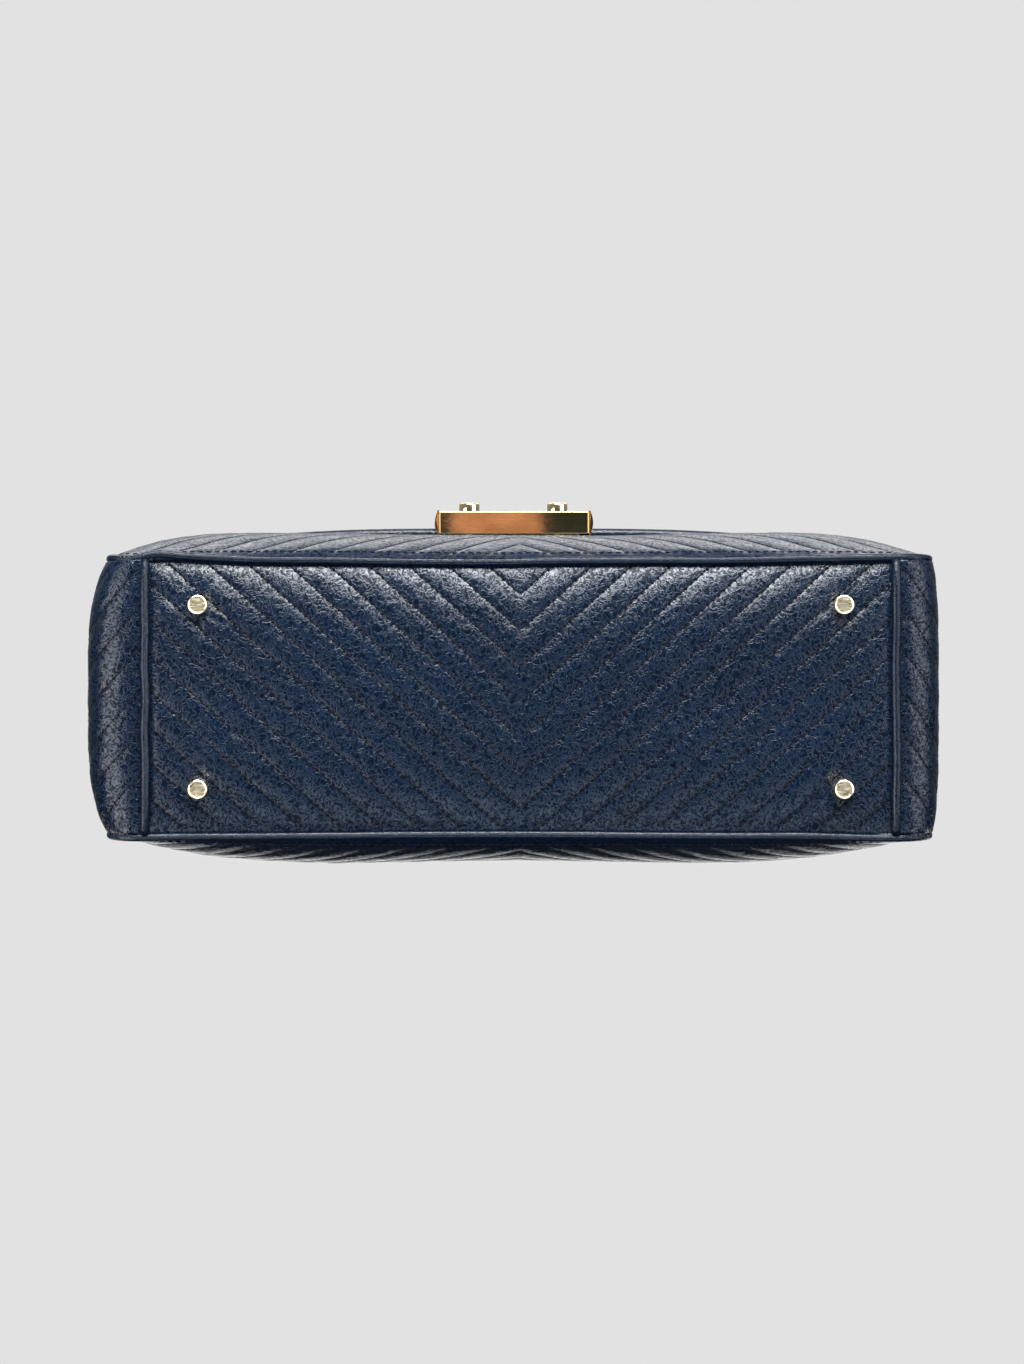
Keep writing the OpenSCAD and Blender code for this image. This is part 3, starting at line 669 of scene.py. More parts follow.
def cloth_material():
    m = Nodes("lining cloth")
    at = m.attribute("grain", "Vector")
    waves = []
    for scale in ((2.4, 0.0, 0.0), (0.0, 2.4, 0.0)):
        inputs = {"Vector": m.stretch(at, scale), "Scale": 1.0, "Distortion": 0.6}
        waves.append(m.node("TexWave", inputs, bands_direction="DIAGONAL").outputs["Fac"])
    weave = m.math("MULTIPLY", *waves)
    slub = m.noise(m.stretch(at, (0.1, 1.2, 1)), 1.0, 3.0)
    tone = m.total((weave, 0.6), (slub, 0.5))
    m.set("Base Color", m.mix(tone, (0.12, 0.095, 0.07, 1), (0.24, 0.195, 0.145, 1)))
    m.set("Roughness", m.ramp(tone, 0.2, 0.9, 0.9, 0.75))
    m.set("Normal", m.bump(weave, 0.0001))
    m.set("Sheen Weight", 0.2)
    return m.owner


def plain_material(name, dark, light, rough, scale, metal=0.0):
    m = Nodes(name)
    n = m.noise(m.where(), scale, 4.0, 0.6)
    m.set("Base Color", m.mix(n, dark, light))
    m.set("Roughness", m.ramp(n, 0.3, 0.7, rough * 0.85, rough * 1.15))
    m.set("Normal", m.bump(n, 0.00005))
    m.set("Metallic", metal)
    return m.owner


NAVY = (0.0005, 0.0018, 0.0054, 1)
LEATHER = leather_material("navy leather", NAVY, (0.0020, 0.0070, 0.0180, 1))
TRIM = leather_material("navy trim leather", NAVY, (0.0018, 0.0062, 0.0160, 1), 0.00006, gloss=(0.16, 0.32))
THREAD = thread_material()
GOLD = gold_material("pale gold", (0.86, 0.70, 0.41, 1), 0.045)
HAMMERED = gold_material("hammered gold", (0.90, 0.80, 0.58, 1), 0.26, dents=0.00002)
SATIN_GOLD = gold_material("satin gold", (0.88, 0.76, 0.52, 1), 0.24)
CLOTH = cloth_material()
BOARD = plain_material("fibre board", (0.10, 0.075, 0.05, 1), (0.17, 0.13, 0.09, 1), 0.8, 0.4)
STEEL = plain_material("steel", (0.42, 0.42, 0.43, 1), (0.55, 0.55, 0.56, 1), 0.35, 0.5, 1.0)

# Nodes that show as they are
KEPT_NODES = {"base_board": BOARD, "foot_washers": STEEL, "strike_backing": STEEL,
              "handle_backing_plates": STEEL, "strike_plate": SATIN_GOLD, "strike_posts": GOLD,
              "lock_rivets": GOLD}
for _name, _material in KEPT_NODES.items():
    _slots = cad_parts[_name].data.materials
    _slots.clear()
    _slots.append(_material)


# Front and back panels

def panel_outline(inset, n):
    """Edge of the front and back panels in width and height, down one end and up the other."""
    w, m, r = BASE_W / 2 - inset, MOUTH_W / 2 - inset, CORNER_R - inset
    left, right = arc(r - w, CORNER_Z, r, 180, 270, n), arc(w - r, CORNER_Z, r, 270, 360, n)
    return [(-m, BODY_H), *left, *right, (m, BODY_H)]


def lip_bow(x):
    """How far the bottom edges bow in towards the middle of the base."""
    return 2.0 * np.clip(1 - (np.abs(x) / 150) ** 2, 0, 1)


def front_surface(p):
    """The front panel: slack in the middle of its lower part, and full at the ends."""
    x, z = p[:, 0], p[:, 1]
    u = across(x, z)
    bow = lip_bow(x) * (1 - smooth(8, 40, z))
    slack = 1.9 * bell(z, 58, 26) * np.clip(1 - (x / 165) ** 2, 0, 1)
    full = 12 * bell(z, 52, 36) * (u ** 3 - u ** 10) * smooth(6, 30, z)
    return np.c_[x, bow + slack - face_y(x, z) - full, z]


def back_surface(p):
    """The back panel, full at the ends of its lower part."""
    x, z = p[:, 0], p[:, 1]
    u = across(x, z)
    bow = 0.5 * lip_bow(x) * (1 - smooth(8, 40, z))
    full = 9 * bell(z, 60, 42) * (u ** 2.2 - u ** 6) * smooth(6, 30, z)
    return np.c_[x, face_y(x, z) - bow + full, z]


def quilted_panel(name, quilt):
    leather(quilt.panel(f"{name}_leather"), "bag", f"{name}_panel")
    leather(quilt.stitches(f"{name}_quilting", 7.0), "bag")
    line = resample(panel_outline(4.2, 9), 1.5)[3:-3]
    at, up = quilt.lift(line, quilt.share(line), 0.1)
    leather(path_stitches(f"{name}_edge_stitches", at, up, 3.4, 0.18, 0.22), "bag")


PANEL = outline_planes(panel_outline(FIT, 9))
quilted_panel("front", Quilt(front_surface, PANEL, -SLOPE, 6.0, seed=1, puff=0.62))
quilted_panel("back", Quilt(back_surface, PANEL, SLOPE, 4.0, seed=2, puff=0.48, flip=True))


# Bottom panel

def bottom_surface(p):
    """The bottom panel, which sags between its seams and rolls up to the front and back edges."""
    x, y = p[:, 0], p[:, 1]
    t = y / (INNER_D + FIT)
    roll = np.where(t < 0, 5.6 * np.abs(t) ** 3.4, 4.4 * np.abs(t) ** 4)
    sag = (4.4 - roll) * (1 - 0.5 * np.abs(x / SEAM_X) ** 6)
    return np.c_[x, y, FOOT_H + 2.0 - sag]


def foot_pucker(p):
    """Leather drawn in round each foot, with small folds that run out from it."""
    out = np.zeros(len(p))
    for k, (_, sx, sy) in enumerate(FEET):
        d = p - np.array([sx * FOOT_X, sy * FOOT_Y])
        r = np.hypot(d[:, 0], d[:, 1])
        a = np.arctan2(d[:, 1], d[:, 0])
        fold = np.sin(a * 13 + 2.2 * np.sin(a * 3 + k)) * smooth(3.5, 6, r) * (1 - smooth(7, 17, r))
        out += 0.22 * fold - 0.9 * bell(r, 0, 6.5)
    return out


def bottom_panel():
    w, d = SEAM_X - 0.2, INNER_D + TUCK
    planes = outline_planes(rectangle(-w, -d, w, d))
    quilt = Quilt(bottom_surface, planes, -SLOPE, 2.0, seed=3, puff=0.5, flip=True, extra=foot_pucker)
    leather(quilt.panel("bottom_leather", 1.2), "bag", "bottom_panel")
    quilting = quilt.stitches("bottom_quilting", 2.0, lambda p: 0.6 + 0.15 * smooth(14, 42, np.abs(p[:, 1])))
    leather(quilting, "bag")


bottom_panel()


# Gussets. A gusset's line runs from the seam in the base round the corner and up to the mouth.

_corner = [(BASE_W / 2 - CORNER_R + CORNER_R * sin(a), CORNER_Z - CORNER_R * cos(a), sin(a), -cos(a))
           for a in np.radians(np.linspace(0, 90, 19))]
_side = [(BASE_W / 2 + (MOUTH_W - BASE_W) / 2 * t, CORNER_Z + (BODY_H - CORNER_Z) * t, 1.0, 0.0)
         for t in np.linspace(0, 1, 40)[1:]]
GUSSET = np.array([(SEAM_X, FOOT_H, 0.0, -1.0), *_corner, *_side])
GUSSET_RUN = run_length(GUSSET[:, :2])
GUSSET_L, GUSSET_LEAD = GUSSET_RUN[-1], GUSSET_RUN[1]


def gusset_surface(side):
    """An end of the bag. The left one is pushed out lower down, and the right one is slack."""
    uneven = 3.4 if side < 0 else -2.6

    def surface(p):
        s = np.clip(p[:, 0], 0, GUSSET_L)
        q = along(GUSSET, GUSSET_RUN, s)
        z = q[:, 1] + (p[:, 0] - s)
        v = p[:, 1] / INNER_D
        reach = half_depth(z) - LEATHER_T + TUCK - FIT
        t = np.clip((s - GUSSET_LEAD) / (GUSSET_L - GUSSET_LEAD), 0, 1)
        full = GUSSET_SWELL * np.sin(pi * t ** GUSSET_SKEW) + uneven * bell(z, 35, 45)
        out = full * (1 - v ** 4) * smooth(-6, 26, s - GUSSET_LEAD)
        return np.c_[side * (q[:, 0] + q[:, 2] * out), v * reach, z + q[:, 3] * out]
    return surface


def gusset(name, side):
    planes = outline_planes(rectangle(0.3, -INNER_D, GUSSET_L - 0.2, INNER_D))
    quilt = Quilt(gusset_surface(side), planes, 1.15, -5.0, seed=4 + side, puff=0.4, flip=side > 0,
                  chevron=False)
    piece = quilt.panel(f"{name}_gusset_leather", cap=False)
    thicken(piece, 0.0018, -1)
    leather(piece, "bag", f"{name}_gusset")
    leather(quilt.stitches(f"{name}_gusset_quilting"), "bag")


for _name, _s in SIDES:
    gusset(_name, _s)


# Raised edges and piping

def raised_edge(name, side):
    """The raised edge of a panel. The front one has a fold near its left end."""
    line = resample(panel_outline(0.0, 13), 2.0)
    t = unit(np.gradient(line, axis=0))
    x, z = line[:, 0], line[:, 1]
    low = 1 - smooth(8, 40, z)
    wave = 0.35 * noise(np.arange(len(x)) / 16, 0 * x, 9 + side)
    fold = 1.6 * bell(x, -163, 7) - 0.8 * bell(x, -149, 7) if side < 0 else 0 * x
    y = half_depth(z) - FIT - lip_bow(x) * low * (1.0 if side < 0 else 0.5) - fold * low + wave
    path, out = np.c_[x, side * y, z], np.c_[t[:, 1], 0 * x, -t[:, 0]]
    lip = sweep(f"{name}_edge", path, out, rounded(-5.2, -0.4, -1.7, 1.7, 2.8, 18), TRIM, seed=5 + side)
    leather(lip, "bag", f"{name}_welt")


def piping(name, side):
    half = INNER_D + 1.4
    y = np.linspace(-1, 1, 60) * half
    x = side * (SEAM_X + 0.35 * noise(y / 14, 0 * y, 20 + side))
    z = 4.35 + 3.0 * np.abs(y / half) ** 8
    tube = sweep(f"{name}_cord", np.c_[x, y, z], (0, 0, -1), round_section(1.85, 14), TRIM, seed=8 + side)
    leather(tube, "bag", f"{name}_piping")


raised_edge("front", -1)
raised_edge("back", 1)
for _name, _s in SIDES:
    piping(_name, _s)


# Feet

FOOT = [(0, 5.68), (1.2, 5.68), (2.3, 5.665), (3.05, 5.63), (3.2, 5.66), (3.3, 5.92), (3.42, 6.0),
        (3.62, 6.0), (3.85, 5.86), (3.97, 5.55), (4.0, 5.1), (4.0, 2.6), (3.3, 0.4), (2.6, 0.0),
        (1.5, -0.2), (1.5, -6.5), (0, -6.5)]
for _name, _sx, _sy in FEET:
    _foot = lathe(f"{_name}_stud_foot", FOOT, (_sx * FOOT_X, _sy * FOOT_Y, FOOT_H), DOWN, HAMMERED)
    metal(_foot, "bag", f"{_name}_foot")


# Lining and mouth

LINING_LOW, LINING_HIGH, LINING_GAP = 13.3, BODY_H - 2.0, 3.3
LINING_W = float(side_x(13.1)) - 4


def lining_mesh():
    """Four walls and a floor with soft corners, open at the top, and slack between its seams."""
    t = circle(200)
    px, py = signed_power(np.cos(t), 0.22), signed_power(np.sin(t), 0.22)
    rings, grain = [], []
    for k in np.linspace(1, 0, 60):
        z = LINING_LOW + (LINING_HIGH - LINING_LOW) * k
        w = LINING_W * (1 - k) + (MOUTH_W / 2 - LINING_GAP) * k
        slack = 0.5 * noise(t * 7, 0 * t + z / 22, 31) * sin(pi * k) - 0.6
        rings.append(np.c_[px * (w + slack), py * (half_depth(z) - LINING_GAP + slack), 0 * t + z])
        grain.append(np.c_[t * 130, 0 * t + z, 0 * t])
    edge = rings[-1]
    for share in (0.75, 0.5, 0.25, 0):
        ring = edge * [share, share, 1]
        rings.append(ring if share else ring[:1])
        grain.append(rings[-1] * [1, 1, 0])
    return skin("lining_cloth", rings, CLOTH, 60, np.concatenate(grain))


def lining():
    """The lining, thickened and attached to the bag in place of its node."""
    cloth = lining_mesh()
    depth = float(half_depth(LINING_LOW))
    thicken(cloth, 0.0006, 0)
    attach(cloth, "bag")
    dress(cloth, ["lining"])


def mouth_edge():
    t = circle(240)
    px, py = signed_power(np.cos(t), 0.2), signed_power(np.sin(t), 0.2)
    line = np.c_[px * (MOUTH_W / 2 - 2.0), py * (MOUTH_D / 2 - 2.0), np.full(len(t), BODY_H - 1.2)]
    section = rounded(-5.5, 2.9, -2.1, 2.1, 3.0, 16)
    rim = sweep("mouth_edge", line, (0, 0, 1), section, TRIM, closed=True, seed=11)
    leather(rim, "bag", "mouth_binding")


lining()
mouth_edge()


# Flap. Distances along it start at the back seam and end at the lower edge on the front.

REAR_R = 6.0
S_STRIP = 30.5
S_CORNER = S_STRIP + REAR_R * pi / 2
S_TOP = S_CORNER + 88.0
S_BEND = S_TOP + (BEND_R + FLAP_T) * pi / 2
S_END = S_BEND + BEND_Z - FLAP_EDGE_Z


def flap_surface_at(out):
    """The flap a distance out from its inner face, from the back seam over the mouth and down the front."""
    def surface(p):
        x, s = p[:, 0], p[:, 1]
        bend_y = face_y(x, BEND_Z) + FLAP_GAP - BEND_R
        rear_z = FLAP_TOP + FLAP_T - REAR_R
        rear_y = face_y(x, np.minimum(rear_z, BODY_H)) + STRIP_OUT - REAR_R
        z1 = STRIP_LOW + s
        y1 = face_y(x, np.minimum(z1, BODY_H)) + STRIP_OUT - (FLAP_T - out)
        a = np.clip((s - S_STRIP) / (S_CORNER - S_STRIP), 0, 1) * pi / 2
        r = REAR_R - (FLAP_T - out)
        y2, z2 = rear_y + r * np.cos(a), rear_z + r * np.sin(a)
        t = np.clip((s - S_CORNER) / (S_TOP - S_CORNER), 0, 1)
        y3 = rear_y + (-bend_y - rear_y) * t
        z3 = FLAP_TOP + out + 2.5 * np.sin(pi * t)
        b = np.clip((s - S_TOP) / (S_BEND - S_TOP), 0, 1) * pi / 2
        y4, z4 = -bend_y - (BEND_R + out) * np.sin(b), BEND_Z + (BEND_R + out) * np.cos(b)
        z5 = BEND_Z - (s - S_BEND)
        y5 = -(face_y(x, z5) + FLAP_GAP + out)
        part = [s < S_STRIP, s < S_CORNER, s < S_TOP, s < S_BEND]
        return np.c_[x, np.select(part, [y1, y2, y3, y4], y5), np.select(part, [z1, z2, z3, z4], z5)]
    return surface


def flap_corners(grow, n):
    """The two round lower corners of the flap, from the right to the left."""
    x, s, r = FLAP_W / 2 - FLAP_R, S_END - FLAP_R, FLAP_R + grow
    return [*arc(x, s, r, 0, 90, n), *arc(-x, s, r, 90, 180, n)]


def flap_line(grow, start, step):
    """Line along the flap's edge, down the right side and up the left."""
    w = FLAP_W / 2 + grow
    return resample([(w, start), *flap_corners(grow, 19), (-w, start)], step)


def flap_piece(obj, slot, *nodes):
    """A soft piece of the flap, with its modifiers applied and its transform baked into its mesh."""
    if obj.modifiers:
        apply_modifiers(obj)
    start, end = ((0, (HINGE_Y - d + MID) / 1000, HINGE_Z / 1000) for d in (2, 16))
    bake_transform(obj)
    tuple(start)
    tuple(end)
    return dress(obj, nodes)


def flap_leather():
    planes = outline_planes([(-FLAP_W / 2, 0.0), (FLAP_W / 2, 0.0), *flap_corners(0.0, 13)])
    quilt = Quilt(flap_surface_at(FLAP_T - 0.7), planes, SLOPE, 3.0, seed=7, puff=0.8, flip=True)
    shell = quilt.panel("flap_leather", cap=False)
    thicken(shell, 0.0016, -1)
    flap_piece(shell, "leather", "flap_shell", "flap_strip")
    flap_piece(quilt.stitches("flap_quilting", 6.5), "leather")
    return quilt


def flap_lining():
    """Cloth on the inside of the flap, cut to its outline."""
    pts = []
    for x in FLAP_W / 2 * np.sin(np.radians(np.linspace(-90, 90, 61))) * 0.992:
        over = max(0.0, abs(x) - (FLAP_W / 2 - FLAP_R))
        end = S_END - 1.2 - (FLAP_R - sqrt(max(0, FLAP_R ** 2 - over ** 2)))
        run = np.r_[np.linspace(S_STRIP + 4, S_BEND, 50)[:-1], np.linspace(S_BEND, end, 46)]
        pts += [(x, s) for s in run]
    pts = np.array(pts)
    faces = grid_faces(np.arange(len(pts)).reshape(61, -1))
    place = flap_surface_at(0.45)(pts)
    cloth = make_object("flap_lining_cloth", place, faces, CLOTH, np.c_[pts, 0 * pts[:, 0]])
    thicken(cloth, 0.0005, 0)
    flap_piece(cloth, "lining_fabric", "flap_lining")


def flap_edge(quilt):
    """The rolled edge along the sides and the lower edge, and the stitches beside it."""
    middle = flap_surface_at(FLAP_T / 2)
    line = flap_line(1.6, 0.5, 2.2)
    section = rounded(-2.0, 2.9, -2.3, 2.3, 2.3, 14)
    up = surface_normals(middle, line, True)
    roll = sweep("flap_rolled_edge", middle(line), up, section, TRIM, seed=14)
    flap_piece(roll, "leather", "flap_edge")
    line = flap_line(-3.2, 1.0, 1.0)
    up = quilt.normals(line)
    flap_piece(path_stitches("flap_edge_stitches", quilt.surface(line) - up * 0.35, up, 2.2), "leather")


_quilt = flap_leather()
flap_lining()
flap_edge(_quilt)


# Lock

def node_box(name):
    """Box of a node in millimetres, with depths from the middle plane."""
    return [np.array(v) * 1000 - [0, MID, 0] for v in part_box(name)]


def bevelled(name, polygon, depth, axes, place, bevel, cutters, segments=3):
    """A polygon drawn out along its third axis, in gold, with round edges and the cutters cut out of it."""
    ax, ay, az = (Vector(v) for v in axes)
    bm = bmesh.new()
    low = [bm.verts.new(Vector(place) + ax * a + ay * b - az * depth / 2) for a, b in polygon]
    face = bm.faces.new(low)
    out = bmesh.ops.extrude_face_region(bm, geom=[face])
    moved = [v for v in out["geom"] if isinstance(v, bmesh.types.BMVert)]
    bmesh.ops.translate(bm, vec=az * depth, verts=moved)
    bmesh.ops.recalc_face_normals(bm, faces=bm.faces)
    corners = [e for e in bm.edges if e.calc_face_angle(0.0) > radians(30)]
    bmesh.ops.bevel(bm, geom=corners, offset=bevel, segments=segments, affect="EDGES", profile=0.6,
                    clamp_overlap=True)
    verts, faces = points_and_faces(bm)
    bm.free()
    obj = make_object(name, verts, faces, GOLD, sharp=40)
    for cut in cutters:
        mod = obj.modifiers.new("hole", "BOOLEAN")
        mod.object, mod.operation, mod.solver = cut, "DIFFERENCE", "EXACT"
    apply_modifiers(obj)
    shade(obj.data, 40)
    mod = obj.modifiers.new("flat", "WEIGHTED_NORMAL")
    mod.weight, mod.keep_sharp = 100, True
    apply_modifiers(obj)
    for cut in cutters:
        bpy.data.objects.remove(cut)
    return obj


def block(name, lo, hi):
    verts = [(x, y, z) for x in (lo[0], hi[0]) for y in (lo[1], hi[1]) for z in (lo[2], hi[2])]
    faces = [[0, 1, 3, 2], [4, 6, 7, 5], [0, 4, 5, 1], [2, 3, 7, 6], [0, 2, 6, 4], [1, 5, 7, 3]]
    return make_object(name, verts, faces, GOLD)


BAR_LOW, BAR_HIGH = node_box("lock_bar")
LOCK_FRONT, LOCK_BACK = -BAR_LOW[1], -BAR_HIGH[1]
LOCK_Z = (BAR_LOW[2] + BAR_HIGH[2]) / 2
LOCK_STEP = FLAP_EDGE_Z - 2 * EDGE_R - 0.4
PLATE_BACK = max(float(face_y(0.0, z)) for z in np.arange(LOCK_STEP, 113.1, 0.5)) + FLAP_GAP + FLAP_T + 0.3
STUD_X = 19.6
STUD_SEAT = [(0, -4.4), (4.56, -4.4), (4.56, -0.35), (4.95, 0.05), (4.95, 1.5), (0, 1.5)]
STUD = [(0, -6.8), (2.8, -6.8), (2.8, -6.05), (2.0, -6.05), (2.0, -1.0), (4.5, -1.0), (4.5, 3.4),
        (4.42, 3.65), (4.2, 3.95), (3.9, 4.12), (3.5, 4.2), (2.2, 4.24), (0, 4.26)]
SPRING_R, SPRING_WIRE, SPRING_TURNS = 3.25, 0.22, 3
SPRING_BACK, SPRING_FRONT = 4.07, 1.33  # depths behind the bar's front


def lock_bar():
    """The bar, stepped to lie over the flap's edge, with a seat for each stud."""
    low, high = BAR_LOW[2], BAR_HIGH[2]
    profile = [(LOCK_BACK, low), (LOCK_FRONT, low), (LOCK_FRONT, high), (PLATE_BACK, high),
               (PLATE_BACK, LOCK_STEP), (LOCK_BACK, LOCK_STEP)]
    seats = [lathe("cut", STUD_SEAT, (s * STUD_X, -LOCK_FRONT, LOCK_Z), FRONT, GOLD) for _, s in SIDES]
    axes = ((0, -1, 0), (0, 0, 1), (-1, 0, 0))
    bar = bevelled("lock_plate", profile, BAR_HIGH[0] - BAR_LOW[0], axes, (0, 0, 0), 0.45, seats)
    metal(bar, "flap", "lock_bar")


def stud(name, side):
    """A press stud, and the coil spring that it shortens."""
    x = side * STUD_X
    button = lathe(f"{name}_press_stud", STUD, (x, -LOCK_FRONT, LOCK_Z), FRONT, GOLD, segments=72)
    metal(button, f"{name}_stud", f"{name}_stud")
    low, high = LOCK_FRONT - SPRING_BACK, LOCK_FRONT - SPRING_FRONT
    a = np.linspace(0, SPRING_TURNS * 2 * pi, 61)
    ring = np.c_[np.cos(a), 0 * a, np.sin(a)]
    line = ring * SPRING_R + np.c_[0 * a + x, -np.linspace(low, high, len(a)), 0 * a + LOCK_Z]
    coil = sweep(f"{name}_coil_spring", line, ring, round_section(SPRING_WIRE, 8), STEEL)
    start, end = ((x / 1000, (MID - y) / 1000, LOCK_Z / 1000) for y in (low, high))
    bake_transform(coil)
    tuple(start)
    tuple(end)
    dress(coil, [f"{name}_stud_spring"])


def lock_cap(name, side):
    """A domed end of the lock, cut back over the flap."""
    (x0, y0, z0), (x1, y1, z1) = node_box(f"{name}_lock_cap")
    root = min(abs(x0), abs(x1))
    half = (y1 - y0) / 2
    dome = [(0.9 + 1.1 * cos(a * pi / 2), a * (half - 0.5)) for a in np.linspace(-1, 1, 13)]
    outline = [(0, -half), (0.9, -half), *dome, (0.9, half), (0, half)]
    ends = sorted((side * root, side * (root + 8)))
    step = block("cut", (ends[0] - 1, -PLATE_BACK, LOCK_STEP), (ends[1] + 1, -PLATE_BACK + 12, 130))
    axes, place = ((side, 0, 0), (0, 1, 0), (0, 0, 1)), (side * root, (y0 + y1) / 2, LOCK_Z)
    cap = bevelled(f"{name}_lock_end", outline, z1 - z0, axes, place, 0.22, [step], segments=2)
    metal(cap, "flap", f"{name}_lock_cap")


lock_bar()
for _name, _s in SIDES:
    stud(_name, _s)
    lock_cap(_name, _s)


# Handle

HANDLE_X = 70.0
_low, _high = node_box("right_handle_anchor")
ANCHOR_Y, ANCHOR_Z = (_low[1] + _high[1]) / 2, _low[2]
ANCHOR_TOP = ANCHOR_Z + 1.95
PIVOT_Z = ANCHOR_Z + 4.0
BAR_Z = PIVOT_Z + 14.0
GRIP_Z = BAR_Z + 12.0
GRIP_RISE, GRIP_R, ARCH_POWER = 58.0, 6.0, 2 / 2.6
DOME = [(0, 1.25), (0.9, 1.2), (1.7, 0.98), (2.2, 0.62), (2.4, 0.2), (2.4, 0.0), (1.0, 0.0), (1.0, -3.0),
        (0, -3.0)]


def grip():
    """The rolled grip, thinner at its ends, with a sewn seam along its underside."""
    a = np.linspace(pi, 0, 400)
    arch = np.c_[HANDLE_X * signed_power(np.cos(a), ARCH_POWER), np.full(len(a), ANCHOR_Y),
                 GRIP_Z + GRIP_RISE * np.maximum(np.sin(a), 0) ** ARCH_POWER]
    arch = resample(np.vstack([[arch[0] - [0, 0, 4]], arch, [arch[-1] - [0, 0, 4]]]), 1.6)
    k = np.linspace(-1, 1, len(arch))
    r = GRIP_R - np.abs(k) ** 5
    roll = sweep("rolled_grip", arch, (0, 1, 0), round_section(1.0, 28), LEATHER,
                 scale=r + 0.05 * noise(k * 60, 0 * k, 41), seed=21)
    leather(roll, "handle", "handle_grip")
    inward = np.cross(unit(np.gradient(arch, axis=0)), [0, 1.0, 0])
    inward = np.where((inward[:, 2] > 0)[:, None], -inward, inward)
    line = arch + inward * (r - 0.5)[:, None]
    section = rounded(-0.5, 1.3, -0.8, 0.8, 2.4, 10)
    leather(sweep("grip_seam", line[6:-6], inward[6:-6], section, TRIM, seed=22), "handle")
    for i, side in enumerate((-1, 1)):
        out = inward * 0.86 + [0, side * 0.51, 0]
        line = arch + out * (r + 0.02)[:, None]
        leather(path_stitches(f"grip_stitches_{i + 1}", line[8:-8], out[8:-8], 2.6), "handle")


def handle_ring(name, x):
    """A ring of round wire with rounded corners, in the plane of X and Z."""
    half, k = 10.5, 2.2
    w, z0, z1 = half - k, PIVOT_Z + k, BAR_Z - k
    line = closed_line([*arc(x + w, z0, k, -90, 0, 7), *arc(x + w, z1, k, 0, 90, 7),
                        *arc(x - w, z1, k, 90, 180, 7), *arc(x - w, z0, k, 180, 270, 7)], 0.8)[:-1]
    path = np.c_[line[:, 0], np.full(len(line), ANCHOR_Y), line[:, 1]]
    ring = sweep(f"{name}_handle_loop", path, (0, 1, 0), round_section(WIRE_R), GOLD, closed=True)
    metal(ring, "handle", f"{name}_handle_ring")


def strap_loop(name, points, place, width, seed, thick=1.8):
    """A flat strap bent along a line in a plane that place maps to space, with its width across it."""
    line = resample(points, 0.8)
    t = unit(np.gradient(line, axis=0))
    path = np.array([place(p) for p in line])
    out = np.array([place(p) for p in line + np.c_[t[:, 1], -t[:, 0]]]) - path
    section = rounded(-thick / 2, thick / 2, -width / 2, width / 2, 5.0, 28)
    return sweep(name, path, out, section, TRIM, seed=seed)


def handle_end(name, side):
    """A ring with the tab and cuff that hold the grip to it, and the anchor that holds it to the flap."""
    x = side * HANDLE_X

    def place(p):
        return x, ANCHOR_Y + p[0], p[1]

    handle_ring(name, x)
    top, bar = GRIP_Z + 3.0, BAR_Z + 7
    line = [(-3.2, top), (-3.0, bar), *arc(0, BAR_Z, LOOP_R, 165, 375, 21), (3.0, bar), (3.2, top)]
    tab = strap_loop(f"{name}_handle_strap", line, place, 12.5, 24 + side)
    leather(tab, "handle", f"{name}_handle_tab")

    k = np.linspace(-1, 1, 12)
    line = np.array([(x, ANCHOR_Y, z) for z in np.linspace(GRIP_Z - 6.5, GRIP_Z + 7, len(k))])
    section = rounded(-5.6, 5.6, -6.7, 6.7, 2.6, 28)
    cuff = sweep(f"{name}_grip_cuff", line, (0, 1, 0), section, TRIM, scale=1 - 0.05 * k ** 4,
                 seed=26 + side)
    leather(cuff, "handle")
    ring = closed_line(section[:, ::-1].tolist(), 0.5)
    for i, z in enumerate((GRIP_Z - 5.0, GRIP_Z + 5.4)):
        line = np.c_[x + ring[:, 0], ANCHOR_Y + ring[:, 1], np.full(len(ring), z)]
        up = unit(np.c_[ring, np.zeros(len(ring))])
        leather(path_stitches(f"{name}_cuff_stitches_{i + 1}", line, up, 2.2), "handle")

    end, foot, z = 17.0, 4.5, ANCHOR_Z + 1.0
    line = [(-end, z), (-foot, z), *arc(0, PIVOT_Z, LOOP_R, 205, -25, 25), (foot, z), (end, z)]
    anchor = strap_loop(f"{name}_anchor_strap", line, place, 13.5, 28 + side)
    leather(anchor, "flap", f"{name}_handle_anchor")
    for i, way in enumerate((-1, 1)):
        box = closed_line(rectangle(-5.4, 5.4 * way, 5.4, 15.6 * way), 0.5)
        line = np.c_[x + box[:, 0], ANCHOR_Y + box[:, 1], np.full(len(box), ANCHOR_TOP)]
        leather(path_stitches(f"{name}_anchor_stitches_{i + 1}", line, (0, 0, 1), 2.1), "flap")


def anchor_rivets():
    spots = [(s * HANDLE_X, ANCHOR_Y + y, ANCHOR_TOP) for _, s in SIDES for y in (-34 / 3, 34 / 3)]
    heads = [lathe("rivet", DOME, spot, UP, GOLD, segments=40) for spot in spots]
    metal(joined("anchor_rivet_heads", heads), "flap", "anchor_rivets")


grip()
for _name, _s in SIDES:
    handle_end(_name, _s)
anchor_rivets()


# Strap rings

_low, _high = node_box("right_strap_ring")
RING_X, RING_Z = (_low[0] + _high[0]) / 2, _high[2] - WIRE_R
RING_HALF, RING_CORNER = 11.0, 1.2
LEAN = radians(6.297)  # of the gusset where the tabs are sewn on
TAB_BACK = -3.7 + 1.25  # middle of the tab's back layer, out from the ring's bar
TAB_FRONT = TAB_BACK + 1.9


